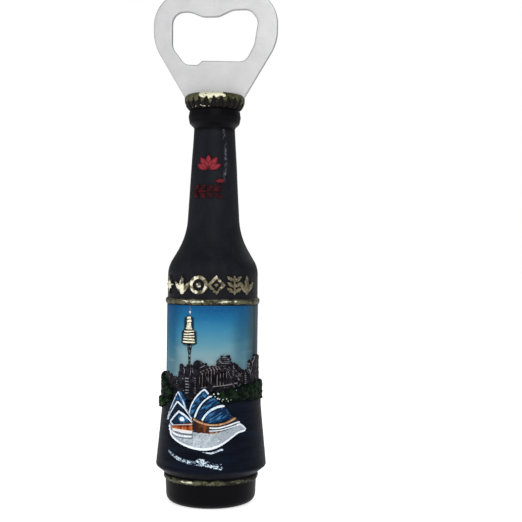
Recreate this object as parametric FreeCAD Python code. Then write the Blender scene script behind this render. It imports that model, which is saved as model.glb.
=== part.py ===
import FreeCAD, Part
import math
import os

# Souvenir bottle opener: a small cast resin bottle with a flat magnetic back, painted
# raised scenery on its front, and a stamped steel opener plate standing out of its crown cap.
# Millimetres. Z runs up the bottle's axis, X to the viewer's right, the front faces -Y.
# The origin is on the bottle's axis, in the plane of the foot.

os.makedirs("parts", exist_ok=True)
V = FreeCAD.Vector
UP = V(0, 0, 1)
ORIGIN = V(0, 0, 0)

# ---------------------------------------------------------------- driving dimensions
BACK_Y = 4.6                # the flat back stands this far behind the axis
TOTAL_HEIGHT = 147.0        # foot to the top of the steel head

FOOT_R = 12.7               # foot
FOOT_TOP_R = 13.0
FOOT_EDGE = 2.0
LOWER_BAND_Z = 6.9          # seat of the lower gold band
LOWER_BAND_TALL = 1.6
SKIRT_R = 15.8              # widest part of the sea skirt
SKIRT_Z = 10.75
SEA_TOP_R = 14.15
SEA_TOP_Z = 30.0
LABEL_SEAT_R = 13.05        # cylinder that carries the sky
LABEL_Z = 31.0
COLLAR_R = 12.9
UPPER_BAND_Z = 56.65
UPPER_BAND_TALL = 1.8
SHOULDER_Z = 67.1
SHOULDER_FILLET = 8.0
NECK_LOW_R = 7.69
NECK_LOW_Z = 75.9
NECK_FILLET = 20.0
NECK_TOP_R = 5.85
NECK_TOP_Z = 106.9
LIP_R = 7.5                 # glass-like lip under the crown cap
LIP_Z = 110.0
CAP_SEAT_Z = 112.0

BAND_PROUD = 0.55           # gold bands stand this far out of the collar
FILM_THICK = 0.20           # printed sky panel
FILM_HALF_ANGLE = 69.0
FILM_TOP_Z = 56.5
FILM_LOW_Z = 31.2

CAP_CORE_R = 7.75
CAP_TOP_Z = 116.3
CAP_DOME = 0.45
CAP_RIDGES = 24
CAP_RIDGE_TOP = (7.95, 115.1, 0.72)    # centre radius, height, ridge radius
CAP_RIDGE_LOW = (7.25, 112.35, 0.30)

PLATE_THICK = 1.6
PLATE_EDGE = 0.25
HEAD_HALF = 18.0
TANG_HALF = 4.2
TANG_LOW_Z = 86.0
KEY_HOLE_R = 1.8
KEY_HOLE_Z = (92.0, 102.0)

MAGNET_R = 7.0
MAGNET_THICK = 3.0
MAGNET_Z = (20.0, 46.0)
MAGNET_PROUD = 0.3

SKYLINE_R = 13.75           # how far each layer of scenery stands from the axis
BRIDGE_R = 14.05
TREE_R = 14.5
SAIL_R = (15.25, 15.5, 15.75)
HOUSE_R = 15.55
HULL_R = 16.0
FOAM_PROUD = 0.3
COLLAR_RELIEF_R = 13.45
NECK_RELIEF = 0.45

NODES = []


# ---------------------------------------------------------------- helpers
def rounded(corners):
    """Closed wire in the X-Z plane through (x, z, radius) corners, an arc tangent at each radius."""
    count = len(corners)
    spans = []
    for i in range(count):
        here = V(corners[i][0], 0, corners[i][1])
        before = V(corners[i - 1][0], 0, corners[i - 1][1]) - here
        after = V(corners[(i + 1) % count][0], 0, corners[(i + 1) % count][1]) - here
        radius = corners[i][2]
        if radius <= 0:
            spans.append((here, None, here))
            continue
        before.normalize()
        after.normalize()
        half = before.getAngle(after) / 2
        run = radius / math.tan(half)
        bisector = before + after
        bisector.normalize()
        middle = here + bisector * (radius / math.sin(half) - radius)
        spans.append((here + before * run, middle, here + after * run))
    edges = []
    for i in range(count):
        start, middle, end = spans[i]
        if middle is not None:
            edges.append(Part.Arc(start, middle, end).toShape())
        following = spans[(i + 1) % count][0]
        if (following - end).Length > 1e-6:
            edges.append(Part.makeLine(end, following))
    return Part.Wire(edges)


def sharp(points):
    """Closed wire through plain (x, z) corners."""
    return rounded([(x, z, 0) for x, z in points])


def turned(corners):
    """Solid turned about the bottle's axis from a half profile."""
    return Part.Face(rounded(corners)).revolve(ORIGIN, UP, 360)


def drum(low_z, high_z, low_r, high_r):
    """Cone or cylinder about the bottle's axis."""
    if abs(low_r - high_r) < 1e-6:
        return Part.makeCylinder(low_r, high_z - low_z, V(0, 0, low_z), UP)
    return Part.makeCone(low_r, high_r, high_z - low_z, V(0, 0, low_z), UP)


def forward(wire):
    """Prism that runs from the back plane out past the front of the bottle."""
    face = Part.Face(wire)
    face.translate(V(0, BACK_Y, 0))
    return face.extrude(V(0, -(BACK_Y + 25), 0))


def ahead(shape):
    """Keeps the half of a prism in front of the axis."""
    box = Part.makeBox(80, 40, 200, V(-40, -40, -20))
    return shape.common(box)


def join(shapes):
    """One shape from several that touch or overlap."""
    if len(shapes) == 1:
        return shapes[0]
    return shapes[0].multiFuse(shapes[1:]).removeSplitter()


def stroke(path, width):
    """Round-ended prism outlines along a path of (x, z) points, joined in the X-Z plane."""
    faces = []
    for x, z in path:
        ring = Part.makeCircle(width / 2, V(x, 0, z), V(0, 1, 0))
        faces.append(Part.Face(Part.Wire([ring])))
    for (x0, z0), (x1, z1) in zip(path[:-1], path[1:]):
        long = math.hypot(x1 - x0, z1 - z0)
        sx = -(z1 - z0) / long * width / 2
        sz = (x1 - x0) / long * width / 2
        faces.append(Part.Face(sharp([(x0 + sx, z0 + sz), (x1 + sx, z1 + sz),
                                      (x1 - sx, z1 - sz), (x0 - sx, z0 - sz)])))
    return join(faces)


def raised(flat):
    """Prism of a flat outline (a face or joined faces), standing forward."""
    return join(flat.copy().extrude(V(0, -25, 0)).Solids)


def disc_flat(x, z, radius):
    return Part.Face(Part.Wire([Part.makeCircle(radius, V(x, 0, z), V(0, 1, 0))]))


def leaf_flat(x, z, long, wide, angle):
    """Pointed leaf lying along an angle, its foot at (x, z)."""
    bulge = wide / 2
    tip = V(0, 0, long)
    left = Part.Arc(ORIGIN, V(-bulge, 0, long / 2), tip).toShape()
    right = Part.Arc(tip, V(bulge, 0, long / 2), ORIGIN).toShape()
    face = Part.Face(Part.Wire([left, right]))
    face.rotate(ORIGIN, V(0, 1, 0), angle)
    face.translate(V(x, 0, z))
    return face


def solids_of(shape):
    """The closed solids of a shape, without slivers."""
    return [s for s in shape.Solids if s.Volume > 0.004]


def save(name, shape):
    kept = solids_of(shape)
    shape = kept[0] if len(kept) == 1 else Part.makeCompound(kept)
    if not kept or not shape.isValid():
        print("BAD SOLID IN", name, len(kept))
    shape.exportStep("parts/" + name + ".step")
    NODES.append(name)
    box = shape.BoundBox
    print("%-18s solids %2d  x %.1f..%.1f  y %.1f..%.1f  z %.1f..%.1f  volume %.1f"
          % (name, len(kept), box.XMin, box.XMax, box.YMin, box.YMax, box.ZMin, box.ZMax, shape.Volume))
    return shape


def cut_all(shape, others):
    for other in others:
        shape = shape.cut(other)
    return shape


# ---------------------------------------------------------------- the bottle's form
keep_front = Part.makeBox(80, 40 + BACK_Y, 200, V(-40, -40, -20))

core = turned([
    (0, 0, 0),
    (FOOT_R, 0, FOOT_EDGE),
    (FOOT_TOP_R, LOWER_BAND_Z, 0),
    (FOOT_TOP_R, LOWER_BAND_Z + LOWER_BAND_TALL, 0),
    (SKIRT_R, SKIRT_Z, 0.9),
    (SEA_TOP_R, SEA_TOP_Z - 2.0, 12.0),
    (SEA_TOP_R - 0.05, SEA_TOP_Z, 0.45),
    (LABEL_SEAT_R, LABEL_Z, 0.3),
    (LABEL_SEAT_R, UPPER_BAND_Z, 0),
    (COLLAR_R, UPPER_BAND_Z, 0),
    (COLLAR_R, SHOULDER_Z, SHOULDER_FILLET),
    (NECK_LOW_R, NECK_LOW_Z, NECK_FILLET),
    (NECK_TOP_R, NECK_TOP_Z, 0.9),
    (7.15, 108.15, 0.8),
    (LIP_R, LIP_Z, 1.2),
    (7.2, CAP_SEAT_Z, 0.3),
    (0, CAP_SEAT_Z, 0),
])
core = core.common(keep_front)

# ---------------------------------------------------------------- stamped opener plate
shoulder_z = 115.05
taper_x = (18.0, 8.25)
outline = rounded([
    (HEAD_HALF, 131.4, 13.4),
    (HEAD_HALF, 146.1, 9.9),
    (0, TOTAL_HEIGHT + 0.1, 100.0),
    (-HEAD_HALF, 146.1, 9.9),
    (-HEAD_HALF, 131.4, 13.4),
    (-taper_x[1], shoulder_z, 0.5),
    (-TANG_HALF, shoulder_z, 0.8),
    (-TANG_HALF, TANG_LOW_Z, 2.5),
    (TANG_HALF, TANG_LOW_Z, 2.5),
    (TANG_HALF, shoulder_z, 0.8),
    (taper_x[1], shoulder_z, 0.5),
])
# The mouth: two upper lobes either side of a tongue that presses on the cap's top,
# and a broad lower lip with a small relief lobe at its left end.
mouth = rounded([
    (-12.55, 140.5, 3.4),
    (-7.3, 140.45, 5.0),
    (-3.6, 138.95, 4.0),
    (0.9, 138.95, 4.0),
    (5.0, 140.85, 5.0),
    (10.2, 140.9, 3.2),
    (12.35, 137.6, 3.0),
    (11.3, 130.8, 6.0),
    (8.8, 126.0, 2.8),
    (-3.8, 126.4, 0.8),
    (-5.0, 125.2, 1.2),
    (-8.8, 125.3, 3.0),
    (-12.5, 130.3, 3.6),
])
plate_face = Part.Face(outline).cut(Part.Face(mouth))
plate_face.translate(V(0, PLATE_THICK / 2, 0))
plate = plate_face.extrude(V(0, -PLATE_THICK, 0))
plate = plate.Solids[0]
rim = [e for e in plate.Edges
       if e.BoundBox.ZMax > shoulder_z + 0.6 and e.BoundBox.YLength < 1e-6]
plate = plate.makeFillet(PLATE_EDGE, rim)
for z in KEY_HOLE_Z:
    drill = Part.makeCylinder(KEY_HOLE_R, 10, V(0, -5, z), V(0, 1, 0))
    plate = plate.cut(drill)
plate = save("opener_plate", plate)

# ---------------------------------------------------------------- crown cap
cap_core = turned([
    (0, CAP_SEAT_Z, 0),
    (7.1, CAP_SEAT_Z, 0.15),
    (CAP_CORE_R, 115.0, 1.5),
    (CAP_CORE_R + 0.15, CAP_TOP_Z, 1.1),
    (0, CAP_TOP_Z + CAP_DOME, 0),
])
ridges = []
for i in range(CAP_RIDGES):
    turn = 2 * math.pi * (i + 0.5) / CAP_RIDGES
    out = V(math.sin(turn), -math.cos(turn), 0)
    top = out * CAP_RIDGE_TOP[0] + V(0, 0, CAP_RIDGE_TOP[1])
    low = out * CAP_RIDGE_LOW[0] + V(0, 0, CAP_RIDGE_LOW[1])
    along = low - top
    cone = Part.makeCone(CAP_RIDGE_TOP[2], CAP_RIDGE_LOW[2], along.Length, top, along)
    ball = Part.makeSphere(CAP_RIDGE_TOP[2] * 1.002, top)
    ridges.append(cone)
    ridges.append(ball)
cap = cap_core.multiFuse(ridges)
cap = cap.common(keep_front)
below_seat = Part.makeCylinder(20, 20, V(0, 0, CAP_SEAT_Z - 20), UP)
cap = cut_all(cap, [below_seat, plate])
cap = save("crown_cap", cap)

# ---------------------------------------------------------------- magnets and the casting
body = core.cut(plate)
names = ("lower_magnet", "upper_magnet")
for name, z in zip(names, MAGNET_Z):
    pocket_floor = V(0, BACK_Y + MAGNET_PROUD - MAGNET_THICK, z)
    pocket = Part.makeCylinder(MAGNET_R, MAGNET_THICK, pocket_floor, V(0, 1, 0))
    magnet = Part.makeCylinder(MAGNET_R, MAGNET_THICK, pocket_floor, V(0, 1, 0))
    magnet = magnet.makeFillet(0.3, [magnet.Edges[0], magnet.Edges[2]])
    body = body.cut(pocket)
    save(name, magnet)
save("bottle_body", body)

# ---------------------------------------------------------------- printed sky and gold bands
film_face = Part.Face(sharp([
    (LABEL_SEAT_R, FILM_LOW_Z),
    (LABEL_SEAT_R + FILM_THICK, FILM_LOW_Z),
    (LABEL_SEAT_R + FILM_THICK, FILM_TOP_Z),
    (LABEL_SEAT_R, FILM_TOP_Z),
]))
film_face.rotate(ORIGIN, UP, -90 - FILM_HALF_ANGLE)
film = film_face.revolve(ORIGIN, UP, 2 * FILM_HALF_ANGLE)
film = save("sky_label", film)


def band(seat_r, low_z, tall):
    """Half-round bead that runs round the bottle from one edge of the back to the other."""
    start = V(seat_r, 0, low_z)
    end = V(seat_r, 0, low_z + tall)
    middle = V(seat_r + BAND_PROUD, 0, low_z + tall / 2)
    bead = Part.Wire([Part.Arc(start, middle, end).toShape(), Part.makeLine(end, start)])
    ring = Part.Face(bead).revolve(ORIGIN, UP, 360)
    return ring.common(keep_front)


upper_band = save("upper_gold_band", band(COLLAR_R, UPPER_BAND_Z, UPPER_BAND_TALL))
lower_band = save("lower_gold_band", band(FOOT_TOP_R, LOWER_BAND_Z, LOWER_BAND_TALL))

# ---------------------------------------------------------------- skyline
ground = [core, film]
blocks = [
    sharp([(-13.9, 31.0), (-13.9, 35.6), (-12.6, 36.9), (-11.7, 37.7), (-9.4, 36.9), (-9.2, 31.0)]),
    sharp([(-9.3, 31.0), (-8.6, 36.2), (-7.7, 37.2), (-7.25, 39.8), (-5.3, 39.95), (-5.2, 40.2),
           (-3.0, 40.2), (-3.0, 31.0)]),
    rounded([(-3.2, 31.0, 0), (-3.2, 41.0, 0.3), (-1.7, 41.75, 0.6), (0.9, 40.9, 0.6), (0.9, 31.0, 0)]),
    sharp([(0.8, 31.0), (0.8, 40.3), (3.8, 40.3), (3.8, 31.0)]),
    sharp([(3.6, 31.0), (3.6, 41.9), (4.2, 42.6), (5.4, 42.7), (5.5, 42.9), (7.0, 42.9), (7.1, 41.9),
           (7.9, 41.8), (7.9, 31.0)]),
    rounded([(7.7, 31.0, 0), (7.7, 41.3, 0.3), (8.7, 41.2, 0.8), (9.7, 40.2, 0.6), (10.3, 38.9, 0),
             (10.3, 31.0, 0)]),
    sharp([(10.1, 31.0), (10.1, 37.2), (11.5, 37.6), (11.5, 41.6), (12.1, 41.8), (12.2, 42.4),
           (13.9, 42.5), (13.9, 31.0)]),
]
flats = join([Part.Face(w) for w in blocks])
skyline = raised(flats).common(drum(31.0, 43.0, SKYLINE_R, SKYLINE_R))
skyline = cut_all(ahead(skyline), ground)

# ---------------------------------------------------------------- arch bridge
arch_centre_x = 3.9
arch_half = 6.1
arch_rise = 3.3
arch_foot_z = 37.0

def arch_z(x, foot_z):
    """Height of the arch's curve at x."""
    t = (x - arch_centre_x) / arch_half
    return foot_z + arch_rise * (1 - t * t)


def chord(foot_z, tall):
    """Curved bar of the arch, cut from straight steps."""
    xs = [arch_centre_x + arch_half * (2 * i / 12 - 1) for i in range(13)]
    above = [(x, arch_z(x, foot_z) + tall / 2) for x in xs]
    below = [(x, arch_z(x, foot_z) - tall / 2) for x in xs]
    return Part.Face(sharp(above + below[::-1]))


def bar(x0, z0, x1, z1, wide):
    """Straight bar between two points."""
    long = math.hypot(x1 - x0, z1 - z0)
    sx = -(z1 - z0) / long * wide / 2
    sz = (x1 - x0) / long * wide / 2
    return Part.Face(sharp([(x0 + sx, z0 + sz), (x1 + sx, z1 + sz), (x1 - sx, z1 - sz), (x0 - sx, z0 - sz)]))


deck_low = (-1.2, 33.95)
deck_high = (10.0, 35.35)
parts_2d = [chord(arch_foot_z, 0.44), chord(arch_foot_z - 1.05, 0.34),
            bar(deck_low[0], deck_low[1], deck_high[0], deck_high[1], 0.44)]
hanger_count = 9
for i in range(hanger_count):
    x = arch_centre_x - 4.6 + 9.2 * i / (hanger_count - 1)
    deck_z = deck_low[1] + (deck_high[1] - deck_low[1]) * (x - deck_low[0]) / (deck_high[0] - deck_low[0])
    parts_2d.append(bar(x, deck_z, x, arch_z(x, arch_foot_z), 0.24))
bridge = raised(join(parts_2d)).common(drum(31.0, 43.0, BRIDGE_R, BRIDGE_R))
bridge = cut_all(ahead(bridge), ground + [skyline])

# ---------------------------------------------------------------- observation tower
tower_x = -4.2
mast_y = -math.sqrt((LABEL_SEAT_R + FILM_THICK) ** 2 - tower_x ** 2)


def spun(profile, sunk):
    """Solid turned about the tower's own upright axis, set into the bottle by the given depth."""
    solid = Part.Face(rounded(profile)).revolve(ORIGIN, UP, 360)
    solid.translate(V(tower_x, mast_y + sunk, 0))
    return solid


mast = spun([(0, 53.5, 0), (0.24, 53.5, 0), (0.2, 56.45, 0), (0, 56.45, 0)], 0.0)
mast = cut_all(mast, ground)
save("tower_mast", mast)
turret_profile = [(0, 45.6, 0), (0.8, 45.6, 0), (1.5, 46.0, 0)]
ring_count = 5
ring_pitch = 0.72
for i in range(ring_count):
    z = 46.1 + i * ring_pitch
    r = 2.02 - 0.06 * i
    turret_profile.append((r, z, 0.12))
    turret_profile.append((r, z + 0.46, 0.12))
    turret_profile.append((r - 0.22, z + 0.52, 0))
    turret_profile.append((r - 0.22, z + 0.68, 0))
turret_profile += [(1.15, 50.0, 0.2), (1.0, 51.2, 0), (0.9, 52.1, 0), (1.08, 52.25, 0.1),
                   (1.08, 52.85, 0.1), (0.8, 52.95, 0), (1.05, 53.05, 0.1), (1.05, 53.5, 0.1), (0, 53.5, 0)]
turret = cut_all(spun(turret_profile, 0.65), ground)
turret = turret.cut(mast)
save("tower_turret", turret)
shaft = spun([(0, 40.0, 0), (0.5, 40.0, 0), (0.55, 43.5, 0), (0.75, 45.6, 0), (0, 45.6, 0)], 0.15)
shaft = cut_all(shaft, ground + [skyline])
save("tower_shaft", shaft)

# ---------------------------------------------------------------- trees
left_crowns = [(-14.0, 35.2, 1.5), (-12.9, 36.0, 1.0), (-13.9, 32.8, 1.6), (-12.3, 34.0, 1.5),
               (-11.0, 33.2, 1.4), (-9.9, 32.3, 1.3), (-13.6, 30.3, 1.6), (-12.0, 31.2, 1.6),
               (-12.9, 28.2, 1.4), (-11.4, 29.3, 1.2), (-13.9, 27.9, 1.2), (-10.6, 30.6, 1.2)]
right_crowns = [(5.4, 31.6, 1.2), (6.8, 32.6, 1.4), (8.2, 32.0, 1.4), (9.4, 33.2, 1.3), (10.8, 32.6, 1.5),
                (12.0, 33.8, 1.3), (13.3, 33.2, 1.4), (14.0, 34.4, 1.2), (12.6, 31.4, 1.4),
                (13.8, 30.7, 1.3), (9.6, 30.9, 1.2), (11.2, 30.8, 1.1), (7.6, 30.7, 1.0)]
banks = {}
for name, crowns in (("left_trees", left_crowns), ("right_trees", right_crowns)):
    lumps = []
    for x, z, r in crowns:
        lump = Part.makeCylinder(r, 25 + BACK_Y, V(x, BACK_Y, z), V(0, -1, 0))
        lumps.append(lump)
    bank = join(lumps).common(drum(26.0, 38.0, TREE_R, TREE_R))
    bank = cut_all(bank, [core, film, skyline, bridge])
    side = -1 if name == "left_trees" else 1
    half = Part.makeBox(20, 40, 40, V(-20 if side < 0 else 0, -40 + BACK_Y, 10))
    banks[name] = bank.common(half)

# ---------------------------------------------------------------- boat: sails, deck houses, hull
fore_layers = [
    (SAIL_R[0], [(-6.85, 33.0, 0.35), (-5.4, 30.6, 3.0), (-4.6, 27.4, 0), (-7.0, 24.6, 0),
                 (-10.95, 24.4, 0.2), (-9.8, 27.4, 6.0)]),
    (SAIL_R[1], [(-7.15, 30.0, 0.25), (-4.9, 28.5, 3.0), (-2.8, 25.2, 0.15), (-9.95, 24.5, 0.15),
                 (-8.9, 27.1, 5.0)]),
    (SAIL_R[2], [(-6.7, 27.6, 0.25), (-4.6, 26.8, 2.0), (-2.5, 24.7, 0.15), (-8.0, 23.9, 0.4),
                 (-9.45, 24.5, 0.15), (-8.2, 25.7, 2.0)]),
]
main_layers = [
    (SAIL_R[0], [(-4.3, 27.5, 0.2), (-3.4, 29.8, 8.0), (-1.5, 32.4, 8.0), (0.3, 33.95, 0.5),
                 (2.5, 32.0, 0.3), (-0.5, 29.6, 6.0), (-2.2, 25.6, 0), (-4.0, 26.2, 0.3)]),
    (SAIL_R[1], [(2.45, 32.15, 0.3), (4.4, 30.4, 4.0), (5.9, 29.3, 0.3), (1.8, 28.0, 6.0),
                 (-0.2, 25.2, 0), (-2.9, 25.5, 0.2), (-2.2, 27.2, 6.0), (-0.4, 29.9, 8.0)]),
    (SAIL_R[2], [(5.8, 29.5, 0.3), (7.0, 27.6, 3.0), (8.35, 26.0, 0.3), (5.1, 24.75, 4.0),
                 (1.7, 24.75, 3.0), (-0.3, 25.25, 0.2), (1.6, 28.0, 6.0)]),
]


def layered(layers, low, high):
    shells = []
    for radius, corners in layers:
        shell = forward(rounded(corners)).common(drum(low, high, radius + 0.25, radius))
        shells.append(ahead(shell))
    return join(shells)


fore_sails = layered(fore_layers, 22.0, 35.0)
main_sails = layered(main_layers, 22.0, 35.0)
fore_house = ahead(forward(rounded([(-8.75, 23.75, 0.2), (-8.0, 23.95, 0), (-2.9, 24.75, 0), (-2.9, 22.3, 0.2),
                                    (-8.6, 22.6, 0.3)])).common(drum(20, 27, HOUSE_R + 0.1, HOUSE_R)))
main_house = ahead(forward(rounded([(-2.45, 25.6, 0.1), (-0.3, 25.25, 0), (1.7, 24.75, 1.5), (5.2, 24.75, 4.0),
                                    (8.5, 25.5, 0.3), (9.0, 24.6, 0.2), (2.4, 22.2, 1.0), (-2.2, 22.4, 0.3)])
                           ).common(drum(20, 27, HOUSE_R + 0.1, HOUSE_R)))
hull = ahead(forward(rounded([(-10.35, 23.5, 0.25), (-9.55, 20.3, 1.2), (-6.9, 18.7, 5.0), (-3.4, 17.55, 9.0),
                              (0.6, 16.95, 9.0), (4.4, 17.9, 9.0), (7.7, 20.1, 7.0), (9.7, 21.7, 1.5),
                              (11.7, 21.9, 0.3), (11.6, 23.3, 0.4), (10.2, 23.8, 1.0), (9.3, 25.0, 0.7),
                              (7.2, 24.5, 1.0), (3.0, 22.1, 2.0), (-1.0, 21.9, 0.4), (-2.9, 22.0, 0.2),
                              (-8.8, 22.5, 0.3)])).common(drum(15, 26, HULL_R + 0.15, HULL_R)))
hull = cut_all(hull, [core])
fore_house = cut_all(fore_house, [core, hull])
main_house = cut_all(main_house, [core, hull, fore_house])
fore_sails = cut_all(fore_sails, [core, film, hull, fore_house, main_house])
main_sails = cut_all(main_sails, [core, film, hull, fore_house, main_house, fore_sails])
front_pieces = [hull, fore_house, main_house, fore_sails, main_sails]
skyline = cut_all(skyline, front_pieces)
bridge = cut_all(bridge, front_pieces)
save("skyline_blocks", skyline)
save("arch_bridge", bridge)
for name in ("left_trees", "right_trees"):
    save(name, cut_all(banks[name], front_pieces))
save("fore_sails", fore_sails)
save("main_sails", main_sails)
save("fore_deckhouse", fore_house)
save("main_deckhouse", main_house)
save("boat_hull", hull)

# ---------------------------------------------------------------- foam and ripples on the sea skirt
sea_shell = turned([(0, SKIRT_Z, 0), (SKIRT_R + FOAM_PROUD, SKIRT_Z, 0),
                    (SEA_TOP_R + FOAM_PROUD, SEA_TOP_Z - 2.0, 0), (0, SEA_TOP_Z - 2.0, 0)])
foam = forward(rounded([(-0.6, 16.95, 0.1), (2.4, 16.2, 3.0), (4.0, 16.9, 2.0), (5.7, 17.35, 0.15),
                        (5.4, 17.75, 0.15), (3.3, 17.6, 2.0), (2.0, 16.95, 2.0)]))
foam = cut_all(ahead(foam.common(sea_shell)), [core, hull])
save("foam_line", foam)
ripple_paths = [
    ([(-10.0, 16.1), (-9.1, 15.3), (-8.1, 15.0)], 0.34),
    ([(-8.3, 14.7), (-7.1, 14.2), (-6.2, 14.5)], 0.36),
    ([(-6.4, 14.0), (-5.1, 13.75), (-3.6, 13.95)], 0.40),
    ([(-4.2, 13.35), (-2.6, 13.15), (-1.3, 13.5)], 0.38),
    ([(-0.9, 14.35), (0.3, 13.9), (1.6, 13.45)], 0.46),
    ([(-0.9, 12.95), (0.6, 12.75), (2.0, 12.7)], 0.36),
    ([(1.9, 13.2), (3.1, 12.85), (4.2, 12.9)], 0.40),
    ([(2.9, 12.25), (3.9, 12.1), (5.1, 12.35)], 0.34),
]
strokes = []
for path, width in ripple_paths:
    strokes.append(ahead(raised(stroke(path, width)).common(sea_shell)).cut(core))
save("ripple_strokes", Part.makeCompound(strokes))

# ---------------------------------------------------------------- six charms on the collar
mid_z = (59.8 + 64.7) / 2


def ring_flat(x, z, outer, inner):
    return disc_flat(x, z, outer).cut(disc_flat(x, z, inner))


def star_charm():
    """Eight-pointed star, its upright and level points the longer ones."""
    corners = []
    for i in range(16):
        reach = (2.4, 0.95, 1.75, 0.95)[i % 4]
        turn = math.pi * i / 8
        corners.append((reach * math.sin(turn), reach * math.cos(turn)))
    return Part.Face(sharp(corners))


def sprout_charm():
    """Three-leaved shoot."""
    return join([leaf_flat(0, -2.45, 4.9, 1.5, 0), leaf_flat(0, -2.0, 3.7, 1.2, 42),
                 leaf_flat(0, -2.0, 3.7, 1.2, -42), disc_flat(0, -1.9, 0.6)])


def sun_charm():
    """Ring with a boss in its middle."""
    return join([ring_flat(0, 0, 2.35, 1.5), disc_flat(0, 0, 0.7)])


def diamond_charm():
    """Open diamond with a small diamond inside."""
    outer = Part.Face(rounded([(2.35, 0, 0.3), (0, 2.5, 0.3), (-2.35, 0, 0.3), (0, -2.5, 0.3)]))
    inner = Part.Face(rounded([(1.35, 0, 0.1), (0, 1.45, 0.1), (-1.35, 0, 0.1), (0, -1.45, 0.1)]))
    seed = Part.Face(rounded([(0.7, 0, 0.1), (0, 0.8, 0.1), (-0.7, 0, 0.1), (0, -0.8, 0.1)]))
    return join([outer.cut(inner), seed])


def fern_charm():
    """Upright frond with three pairs of leaflets."""
    pieces = [stroke([(0, -2.2), (0, 2.1)], 0.6)]
    for z in (-1.9, -0.5, 0.9):
        pieces.append(leaf_flat(0, z, 2.4, 0.95, 58))
        pieces.append(leaf_flat(0, z, 2.4, 0.95, -58))
    return join(pieces)


charm_angles = (-57.5, -31.0, -8.0, 13.5, 36.5, 55.0)
charm_flats = (star_charm(), sprout_charm(), sun_charm(), diamond_charm(), fern_charm(), sprout_charm())
collar_shell = drum(58.6, 66.0, COLLAR_RELIEF_R, COLLAR_RELIEF_R)
charms = []
for angle, flat in zip(charm_angles, charm_flats):
    flat.translate(V(0, 0, mid_z))
    solid = ahead(raised(flat)).common(collar_shell)
    solid.rotate(ORIGIN, UP, angle)
    charms.append(solid.cut(core))
save("collar_charms", Part.makeCompound(charms))

# ---------------------------------------------------------------- red flower and leaves on the neck
neck_shell = turned([(0, 84.0, 0), (NECK_LOW_R + NECK_RELIEF - 0.49, 84.0, 0),
                     (NECK_TOP_R + NECK_RELIEF, NECK_TOP_Z, 0), (0, NECK_TOP_Z, 0)])
flower_x = -0.5
flower_z = 94.6
petals = []
for angle, long in ((0, 4.2), (36, 4.3), (-36, 4.3), (68, 3.7), (-68, 3.7)):
    petals.append(leaf_flat(flower_x, flower_z, long, 1.9, angle))
petals.append(Part.Face(rounded([(flower_x - 2.6, flower_z - 0.1, 0.2), (flower_x, flower_z + 1.0, 3.0),
                                 (flower_x + 2.6, flower_z - 0.1, 0.2), (flower_x + 1.7, flower_z + 2.0, 0.4),
                                 (flower_x - 1.7, flower_z + 2.0, 0.4)])))
flower = ahead(raised(join(petals)).common(neck_shell)).cut(core)
save("neck_flower", flower)
twig = [leaf_flat(-5.5, 88.3, 8.6, 0.75, 88)]
for foot in (-4.9, -2.9, -0.9, 1.1):
    twig.append(leaf_flat(foot, 88.4, 2.7, 1.25, 42))
    twig.append(leaf_flat(foot, 88.4, 2.7, 1.25, 136))
leaves = [join(twig), leaf_flat(1.0, 91.3, 2.9, 1.2, 80)]
leaf_solids = []
for flat in leaves:
    leaf_solids.append(ahead(raised(flat).common(neck_shell)).cut(core))
save("neck_leaves", Part.makeCompound(leaf_solids))

print(len(NODES), "nodes")
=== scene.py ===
"""Souvenir bottle opener: satin black resin bottle with painted raised scenery and a steel cap lifter.

Lengths inside the functions are millimetres. s runs round the bottle (arc length on the named
reference radius, 0 at the front, positive to the viewer's right) and z runs up its axis.
"""
import math

import bmesh
import bpy
import numpy as np
from mathutils import Matrix, Vector
from mathutils.bvhtree import BVHTree


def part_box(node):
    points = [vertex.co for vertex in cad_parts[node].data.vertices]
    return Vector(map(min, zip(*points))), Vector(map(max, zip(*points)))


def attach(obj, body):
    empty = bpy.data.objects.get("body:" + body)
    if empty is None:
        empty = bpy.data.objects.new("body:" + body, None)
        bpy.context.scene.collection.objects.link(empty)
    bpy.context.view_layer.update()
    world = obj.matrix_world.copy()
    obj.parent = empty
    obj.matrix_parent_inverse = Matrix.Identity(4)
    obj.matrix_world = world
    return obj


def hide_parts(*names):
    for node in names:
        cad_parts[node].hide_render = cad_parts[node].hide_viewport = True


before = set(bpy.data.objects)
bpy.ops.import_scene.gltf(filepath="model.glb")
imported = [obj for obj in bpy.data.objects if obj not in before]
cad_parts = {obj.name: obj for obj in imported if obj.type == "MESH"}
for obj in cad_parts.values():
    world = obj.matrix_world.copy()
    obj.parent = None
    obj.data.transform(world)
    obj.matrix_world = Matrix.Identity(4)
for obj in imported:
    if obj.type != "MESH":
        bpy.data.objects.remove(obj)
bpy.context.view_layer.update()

MM = 0.001
ROOT = "root"


# ------------------------------------------------------------------ sizes read from the frame
def node_box(node):
    """Lowest and highest corner of a CAD node, in millimetres."""
    low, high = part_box(node)
    return np.array(low) / MM, np.array(high) / MM


def front_radius(node):
    """How far a CAD node stands in front of the bottle's axis, in millimetres."""
    return -float(node_box(node)[0][1])


def tree_of(node):
    """Ray-casting tree of a CAD node's mesh."""
    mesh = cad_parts[node].data
    return BVHTree.FromPolygons([v.co for v in mesh.vertices], [p.vertices for p in mesh.polygons])


BODY_HIGH = node_box("bottle_body")[1]
BODY_TOP, BACK = float(BODY_HIGH[2]), float(BODY_HIGH[1])
PLATE_HALF = float(node_box("opener_plate")[1][1])
CAP_FOOT = node_box("crown_cap")[0][2]
FILM_LOW, FILM_HIGH = node_box("sky_label")

PROFILE_STEP = 0.1
profile_z = np.arange(0.02, BODY_TOP - 0.02, PROFILE_STEP)
body_tree = tree_of("bottle_body")
profile_r = np.array([
    -body_tree.ray_cast(Vector((0.0001, -0.05, z * MM)), Vector((0, 1, 0)))[0].y / MM for z in profile_z
])


def surface(z):
    """Radius of the bare bottle at height z."""
    return np.interp(z, profile_z, profile_r)


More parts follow.
